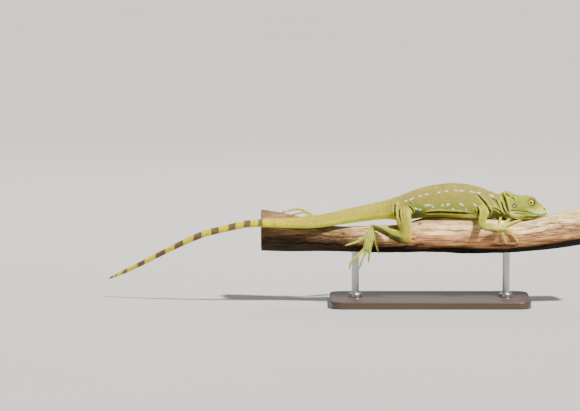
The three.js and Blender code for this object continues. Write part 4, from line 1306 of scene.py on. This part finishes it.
def split_group():
    """A shared group that gives long thin splits along the grain, 0 in a split and 1 outside it."""
    group, start, end = new_group("Splits along the grain", (
        ("Scale", "Float", "INPUT"), ("Width", "Float", "INPUT"), ("Solid", "Float", "OUTPUT")))
    place = add_node(group, "TexCoord").outputs["Object"]
    stretch = add_node(group, "VectorMath", {0: place, 1: (0.045, 1.0, 1.0)}, operation="MULTIPLY")
    noise = add_node(group, "TexNoise", {"Vector": stretch.outputs[0], "Scale": start["Scale"],
                                         "Detail": 4.0, "Roughness": 0.55})
    centre = add_node(group, "Math", {0: noise.outputs["Fac"], 1: 0.5}, operation="SUBTRACT")
    near = add_node(group, "Math", {0: centre.outputs[0]}, operation="ABSOLUTE")
    solid = add_node(group, "MapRange", {"Value": near.outputs[0], "From Max": start["Width"]})
    group.links.new(solid.outputs[0], end["Solid"])
    return group


def bark_material():
    material, tree, shader = nodes_of("Weathered wood", 0.8, Specular_IOR_Level=0.2)
    tone, _ = add_grain(tree, painted(tree), 120.0, (0.4, 1.0, 1.0), 1.9)
    tone, _ = add_grain(tree, tone, 300.0, (0.06, 1.0, 1.0), 1.7)
    tone, height = add_grain(tree, tone, 1500.0, (0.07, 1.0, 1.0), 1.3)
    group = split_group()
    splits = add_node(tree, "Group", {"Scale": 120.0, "Width": 0.03}, node_tree=group)
    hairs = add_node(tree, "Group", {"Scale": 330.0, "Width": 0.05}, node_tree=group)
    solid = add_node(tree, "Math", {0: splits.outputs[0], 1: hairs.outputs[0]},
                     operation="MULTIPLY").outputs[0]
    # Sockets 6, 7 and 2 are the two colours and the result of a mix of colours
    dark = add_node(tree, "Mix", data_type="RGBA", blend_type="MULTIPLY")
    dark.inputs["Factor"].default_value = 0.6
    tree.links.new(tone, dark.inputs[6])
    tree.links.new(solid, dark.inputs[7])
    tree.links.new(dark.outputs[2], shader.inputs["Base Color"])
    relief = add_node(tree, "Math", {0: solid, 1: 0.6, 2: height}, operation="MULTIPLY_ADD")
    add_bump(tree, relief.outputs[0], shader, 0.8, 0.4 * MM)
    return material


def turned_from(angle, line):
    """How far round the branch each point is from a line along it, at the branch's usual radius of 18 mm."""
    return ((angle - line + math.pi) % (2 * math.pi) - math.pi) * 18


def bark_breaks(x, angle):
    """How deep each point is in a crack and in a knot, and how far it lies on the swelling round a knot."""
    cracks, knots, swollen = np.zeros(len(x)), np.zeros(len(x)), np.zeros(len(x))
    for start, end, turn, wide, drift in CRACKS:
        share = np.clip((x - start) / (end - start), 0, 1)
        line = math.radians(turn) + np.radians(drift) * share + 0.03 * np.sin(x * 0.4)
        along = ramp(x, start, start + 10) * (1 - ramp(x, end - 10, end))
        cracks = np.maximum(cracks, along * np.exp(-(turned_from(angle, line) / (0.3 * wide)) ** 2))
    for kx, turn, radius in KNOTS:
        away = np.hypot(x - kx, turned_from(angle, math.radians(turn)))
        knots = np.maximum(knots, np.exp(-(away / radius) ** 2))
        swollen += np.exp(-((away - 2.1 * radius) / radius) ** 2)
    return cracks, knots, swollen


def smooth_branch(spacing):
    """The branch's solid with its facets rounded off, its sawn edges kept, and its points made even."""
    bm = merged_copy("branch")
    layer = bm.edges.layers.float.new("crease_edge")
    for edge in bm.edges:
        if len(edge.link_faces) == 2 and edge.calc_face_angle(0) > 1.0:
            edge[layer] = 0.9
    bmesh.ops.join_triangles(bm, faces=bm.faces, angle_face_threshold=0.7, angle_shape_threshold=3.1)
    return modified(as_mesh("branch", bm), "perch_branch", [
        ("SUBSURF", {"levels": 3, "render_levels": 3}),
        ("REMESH", {"mode": "VOXEL", "voxel_size": spacing, "adaptivity": 0.0})])


def make_branch():
    """The cut branch: its solid made smooth, then given grain, cracks, knots and a weathered colour, with
    painted light on top and painted shade underneath and in the cracks.
    """
    s = settings().stand
    made = smooth_branch(s.bark_grain)
    low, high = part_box("branch")
    co, no = in_mm(made), normals(made)
    x, y, z = co.T
    xs = np.linspace(low.x * 1000, high.x * 1000, 60)
    middle = []
    for value in xs:
        near = co[np.abs(x - value) < 8]
        middle.append((near.min(0) + near.max(0))[1:] / 2)
    cy, cz = (np.interp(x, xs, row) for row in np.array(middle).T)
    angle = np.arctan2(y - cy, z - cz)
    from_core = np.hypot(y - cy, z - cz)
    sawn = np.abs(no[:, 0]) > 0.8

    def along_bark(stretch, scale, seed):
        """A pattern on the bark, drawn out along the branch."""
        points = np.column_stack([x * stretch, 20 * np.cos(angle), 20 * np.sin(angle)])
        return ripple(points, scale, seed)

    grain = (np.sin(22 * angle + 0.05 * x + 1.2 * np.sin(0.03 * x + 3 * angle))
             + 0.7 * np.sin(41 * angle - 0.04 * x + 1.5 * np.sin(0.045 * x + 5 * angle))
             + 0.5 * np.sin(73 * angle + 2.0 * np.sin(0.08 * x - 2 * angle)))
    wear = along_bark(0.25, 6.0, 1.5)
    under = ramp(-np.cos(angle), -0.1, 0.8)
    cracks, knots, swollen = bark_breaks(x, angle)
    lift = s.bark_relief * 1000 * (0.2 * grain * (0.6 + 0.8 * under) + 0.5 * wear * (0.5 + under))
    lift += 0.4 * swollen - 1.1 * cracks - 0.9 * knots
    lift = np.where(sawn, 0.12 * np.sin(1.1 * from_core), np.minimum(lift, 0.28))
    lift += height_on(REST, x) * np.exp(-(y / 3.2) ** 2) * (z > cz)
    move_points(made, (co + no * lift[:, None]) * MM)

    # Lighter on top and turned a little towards the front: partly wood bleached by the sun and partly painted
    # light
    turned = np.cos(angle + 0.35)
    base = mix(srgb(222, 160, 110), srgb(255, 214, 154), ramp(turned, 0.15, 0.85))
    # Painted shade, near black, on the underside, reaching higher towards the rear
    low_side = -turned + 0.1 * wear + 0.14 * along_bark(0.06, 1.9, 3.1) + 0.2 * ramp(-x, 10, 45)
    base = mix(base, srgb(24, 15, 8), ramp(low_side, -0.02, 0.42))
    # The rear part is browner rough bark, with painted shade from the tail and darker still towards its
    # underside
    rough_bark_and_shade = np.array(srgb(112, 84, 54)) * (0.2 + 0.8 * ramp(turned, 0.1, 0.85))[:, None]
    base = mix(base, rough_bark_and_shade, 0.88 * ramp(-x, 58, 96))
    uneven = 1 + 0.28 * along_bark(0.12, 2.6, 0.5) + 0.16 * wear + 0.18 * along_bark(0.5, 7.5, 2.2)
    # Uneven streaks of tone, and painted shade in the cracks and knots
    base = base * (uneven * (1 - 0.85 * np.maximum(cracks, knots)))[:, None]
    rings = 0.8 + 0.2 * np.sin(2.4 * from_core + 0.8 * np.sin(3 * angle))
    cut = np.array(srgb(204, 170, 128)) * rings[:, None]
    paint(made, np.clip(np.where(sawn[:, None], cut, base), 0, 1))
    obj = shown("perch_branch", made, bark_material())
    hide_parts("branch")


def make_board(s):
    """The base as a rounded board of stained wood."""
    wood = grained("Dark stained wood", (70, 52, 40), 0.4, (130.0, (0.06, 1.0, 1.0), 1.1), (0.15, 0.2 * MM),
                   Coat_Weight=0.25, Coat_Roughness=0.25)
    low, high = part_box("stand_base")
    bm = bmesh.new()
    bmesh.ops.create_cube(bm, size=1.0)
    bmesh.ops.scale(bm, vec=high - low, verts=bm.verts)
    bmesh.ops.translate(bm, vec=(low + high) / 2, verts=bm.verts)
    upright = [e for e in bm.edges if abs(e.verts[0].co.z - e.verts[1].co.z) > 1e-4]
    bmesh.ops.bevel(bm, geom=upright, offset=s.base_corner, segments=12, **BEVEL)
    level = [e for e in bm.edges if abs(e.verts[0].co.z - e.verts[1].co.z) < 1e-6 and len(e.link_faces) == 2
             and e.calc_face_angle(0) > 1.0]
    bmesh.ops.bevel(bm, geom=level, offset=s.base_edge, segments=4, **BEVEL)
    board = shown("stand_board", closed_mesh("stand_board", bm), wood)
    board.data.set_sharp_from_angle(angle=SHARP)
    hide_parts("stand_base")


def make_rods(s):
    """The rods, each turned from one profile with a collar at its foot."""
    steel = grained("Satin steel", (188, 188, 190), 0.34, (300.0, (1.0, 1.0, 0.04), 0.35), (0.08, 0.1 * MM),
                    Metallic=1.0)
    radius, collar = 4 * MM, s.rod_collar
    for node in ("stand_rod_rear", "stand_rod_front"):
        low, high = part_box(node)
        middle = (low + high) / 2
        foot, top = low.z, high.z + 0.4 * MM
        profile = ((0.0, foot), (collar, foot), (collar, foot + 3 * MM), (collar - 0.5 * MM, foot + 3.7 * MM),
                   (collar - 1.2 * MM, foot + 4 * MM), (radius + 0.4 * MM, foot + 4 * MM),
                   (radius, foot + 4.4 * MM), (radius, top), (0.0, top))
        bm = bmesh.new()
        points = [bm.verts.new((r, 0, h)) for r, h in profile]
        edges = [bm.edges.new(pair) for pair in zip(points[:-1], points[1:])]
        bmesh.ops.spin(bm, geom=points + edges, cent=(0, 0, 0), axis=(0, 0, 1), angle=2 * math.pi, steps=48,
                       use_merge=True)
        bmesh.ops.remove_doubles(bm, verts=bm.verts, dist=1e-6)
        bmesh.ops.translate(bm, vec=(middle.x, middle.y, 0), verts=bm.verts)
        rod = shown(node.replace("stand_", "stand_post_"), closed_mesh(node, bm), steel)
        rod.data.set_sharp_from_angle(angle=SHARP)
        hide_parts(node)


def add_object(name, data):
    obj = bpy.data.objects.new(name, data)
    bpy.context.scene.collection.objects.link(obj)
    return obj


def make_studio():
    """A pale flat floor, soft lights and the camera at the photograph's angle."""
    s = settings().stand
    bm = bmesh.new()
    bmesh.ops.create_grid(bm, x_segments=1, y_segments=1, size=20.0)
    mesh = as_mesh("studio_floor", bm)
    mesh.materials.append(grained("Pale floor", (196, 195, 192), 0.75, (4.0, (1, 1, 1), 0.05)))
    add_object("studio_floor", mesh)

    world = bpy.data.worlds.new("Studio")
    world.use_nodes = True
    background = world.node_tree.nodes["Background"].inputs
    background["Color"].default_value = (1.0, 1.0, 1.0, 1)
    background["Strength"].default_value = 0.15
    bpy.context.scene.world = world
    target = Vector((0.0, 0.0, 0.09))
    for name, kind, place, power, tone in (("Key", "SUN", (0.8, -0.95, 1.9), 8.2, (1.0, 0.965, 0.9)),
                                           ("Fill", "AREA", (-1.5, -1.5, 0.6), 2.4, (0.92, 0.96, 1.0)),
                                           ("Rim", "AREA", (-0.2, 1.3, 1.2), 10.0, (1.0, 1.0, 1.0))):
        light = bpy.data.lights.new(name, kind)
        light.energy, light.color = power, tone
        if kind == "SUN":
            light.angle = math.radians(5)
        else:
            light.size = 1.0
        lamp = add_object(name, light)
        lamp.location = place
        lamp.rotation_euler = (target - lamp.location).to_track_quat("-Z", "Y").to_euler()

    camera = bpy.data.cameras.new("Camera")
    camera.sensor_width = 36.0
    camera.lens = camera.sensor_width * s.distance / s.frame_width
    camera.clip_end = 60.0
    view = add_object("Camera", camera)
    aim = Vector((-0.154, 0.0, 0.10895))
    away = Vector((0.0, -math.cos(s.elevation), math.sin(s.elevation)))
    view.location = aim + away * s.distance
    view.rotation_euler = (-away).to_track_quat("-Z", "Y").to_euler()
    bpy.context.scene.camera = view


# Operators: each makes one piece or group of pieces

# The animal's map and its skin, which the later pieces are laid on
MADE = {}


class BASILISK_OT_skin(bpy.types.Operator):
    """Make one smooth skin over the whole animal, in place of its solids"""

    bl_idname = "basilisk.skin"
    bl_label = "Skin"

    def execute(self, context):
        anatomy = Anatomy()
        mesh, labels = make_skin(anatomy)
        # The skin is painted a fifth darker than its scales, as painted shade in the gaps between them
        paint(mesh, colour_with_painted_light(anatomy, in_mm(mesh), normals(mesh), labels) * 0.8)
        obj = shown("skin", mesh, skin_material())
        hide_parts(*FLESH)
        MADE.update(anatomy=anatomy, skin=mesh)
        return {"FINISHED"}


class BASILISK_OT_scales(bpy.types.Operator):
    """Cover the skin with scales, and add the crest along the back"""

    bl_idname = "basilisk.scales"
    bl_label = "Scales and crest"

    def execute(self, context):
        surface = Surface(MADE["skin"])
        make_scales(MADE["anatomy"], MADE["skin"], surface)
        make_crest(MADE["anatomy"], surface)
        return {"FINISHED"}


class BASILISK_OT_head(bpy.types.Operator):
    """Make the eyes with their lids, and the ear drums"""

    bl_idname = "basilisk.head"
    bl_label = "Eyes and ears"

    def execute(self, context):
        make_eyes()
        make_lids(MADE["anatomy"])
        make_ears()
        return {"FINISHED"}


class BASILISK_OT_claws(bpy.types.Operator):
    """Make an arched claw at the end of each finger and toe"""

    bl_idname = "basilisk.claws"
    bl_label = "Claws"

    def execute(self, context):
        make_claws(MADE["anatomy"])
        return {"FINISHED"}


class BASILISK_OT_branch(bpy.types.Operator):
    """Make the weathered branch from its solid"""

    bl_idname = "basilisk.branch"
    bl_label = "Branch"

    def execute(self, context):
        make_branch()
        return {"FINISHED"}


class BASILISK_OT_stand(bpy.types.Operator):
    """Make the board and the rods of the stand"""

    bl_idname = "basilisk.stand"
    bl_label = "Stand"

    def execute(self, context):
        make_board(settings().stand)
        make_rods(settings().stand)
        return {"FINISHED"}


class BASILISK_OT_studio(bpy.types.Operator):
    """Make the floor, the lights and the camera"""

    bl_idname = "basilisk.studio"
    bl_label = "Studio"

    def execute(self, context):
        make_studio()
        return {"FINISHED"}


OPERATORS = (BASILISK_OT_studio, BASILISK_OT_skin, BASILISK_OT_scales, BASILISK_OT_head, BASILISK_OT_claws,
             BASILISK_OT_branch, BASILISK_OT_stand)


class BASILISK_PT_panel(bpy.types.Panel):
    """Lists the pieces and their settings"""

    bl_idname = "BASILISK_PT_panel"
    bl_label = "Basilisk"
    bl_space_type = "VIEW_3D"
    bl_region_type = "UI"
    bl_category = "Basilisk"

    def draw(self, context):
        for operator in OPERATORS:
            self.layout.operator(operator.bl_idname)
        for group in (settings().skin, settings().colours, settings().stand):
            box = self.layout.box()
            for key in group.__annotations__:
                box.prop(group, key)


CLASSES = (BasiliskSkinSettings, BasiliskColours, BasiliskStandSettings, BasiliskSettings, *OPERATORS,
           BASILISK_PT_panel)


def register():
    for cls in CLASSES:
        bpy.utils.register_class(cls)
    bpy.types.Scene.basilisk = PointerProperty(type=BasiliskSettings)


def unregister():
    del bpy.types.Scene.basilisk
    for cls in reversed(CLASSES):
        bpy.utils.unregister_class(cls)


def main():
    register()
    for operator in OPERATORS:
        group, name = operator.bl_idname.split(".")
        getattr(getattr(bpy.ops, group), name)()


if __name__ == "__main__":
    main()
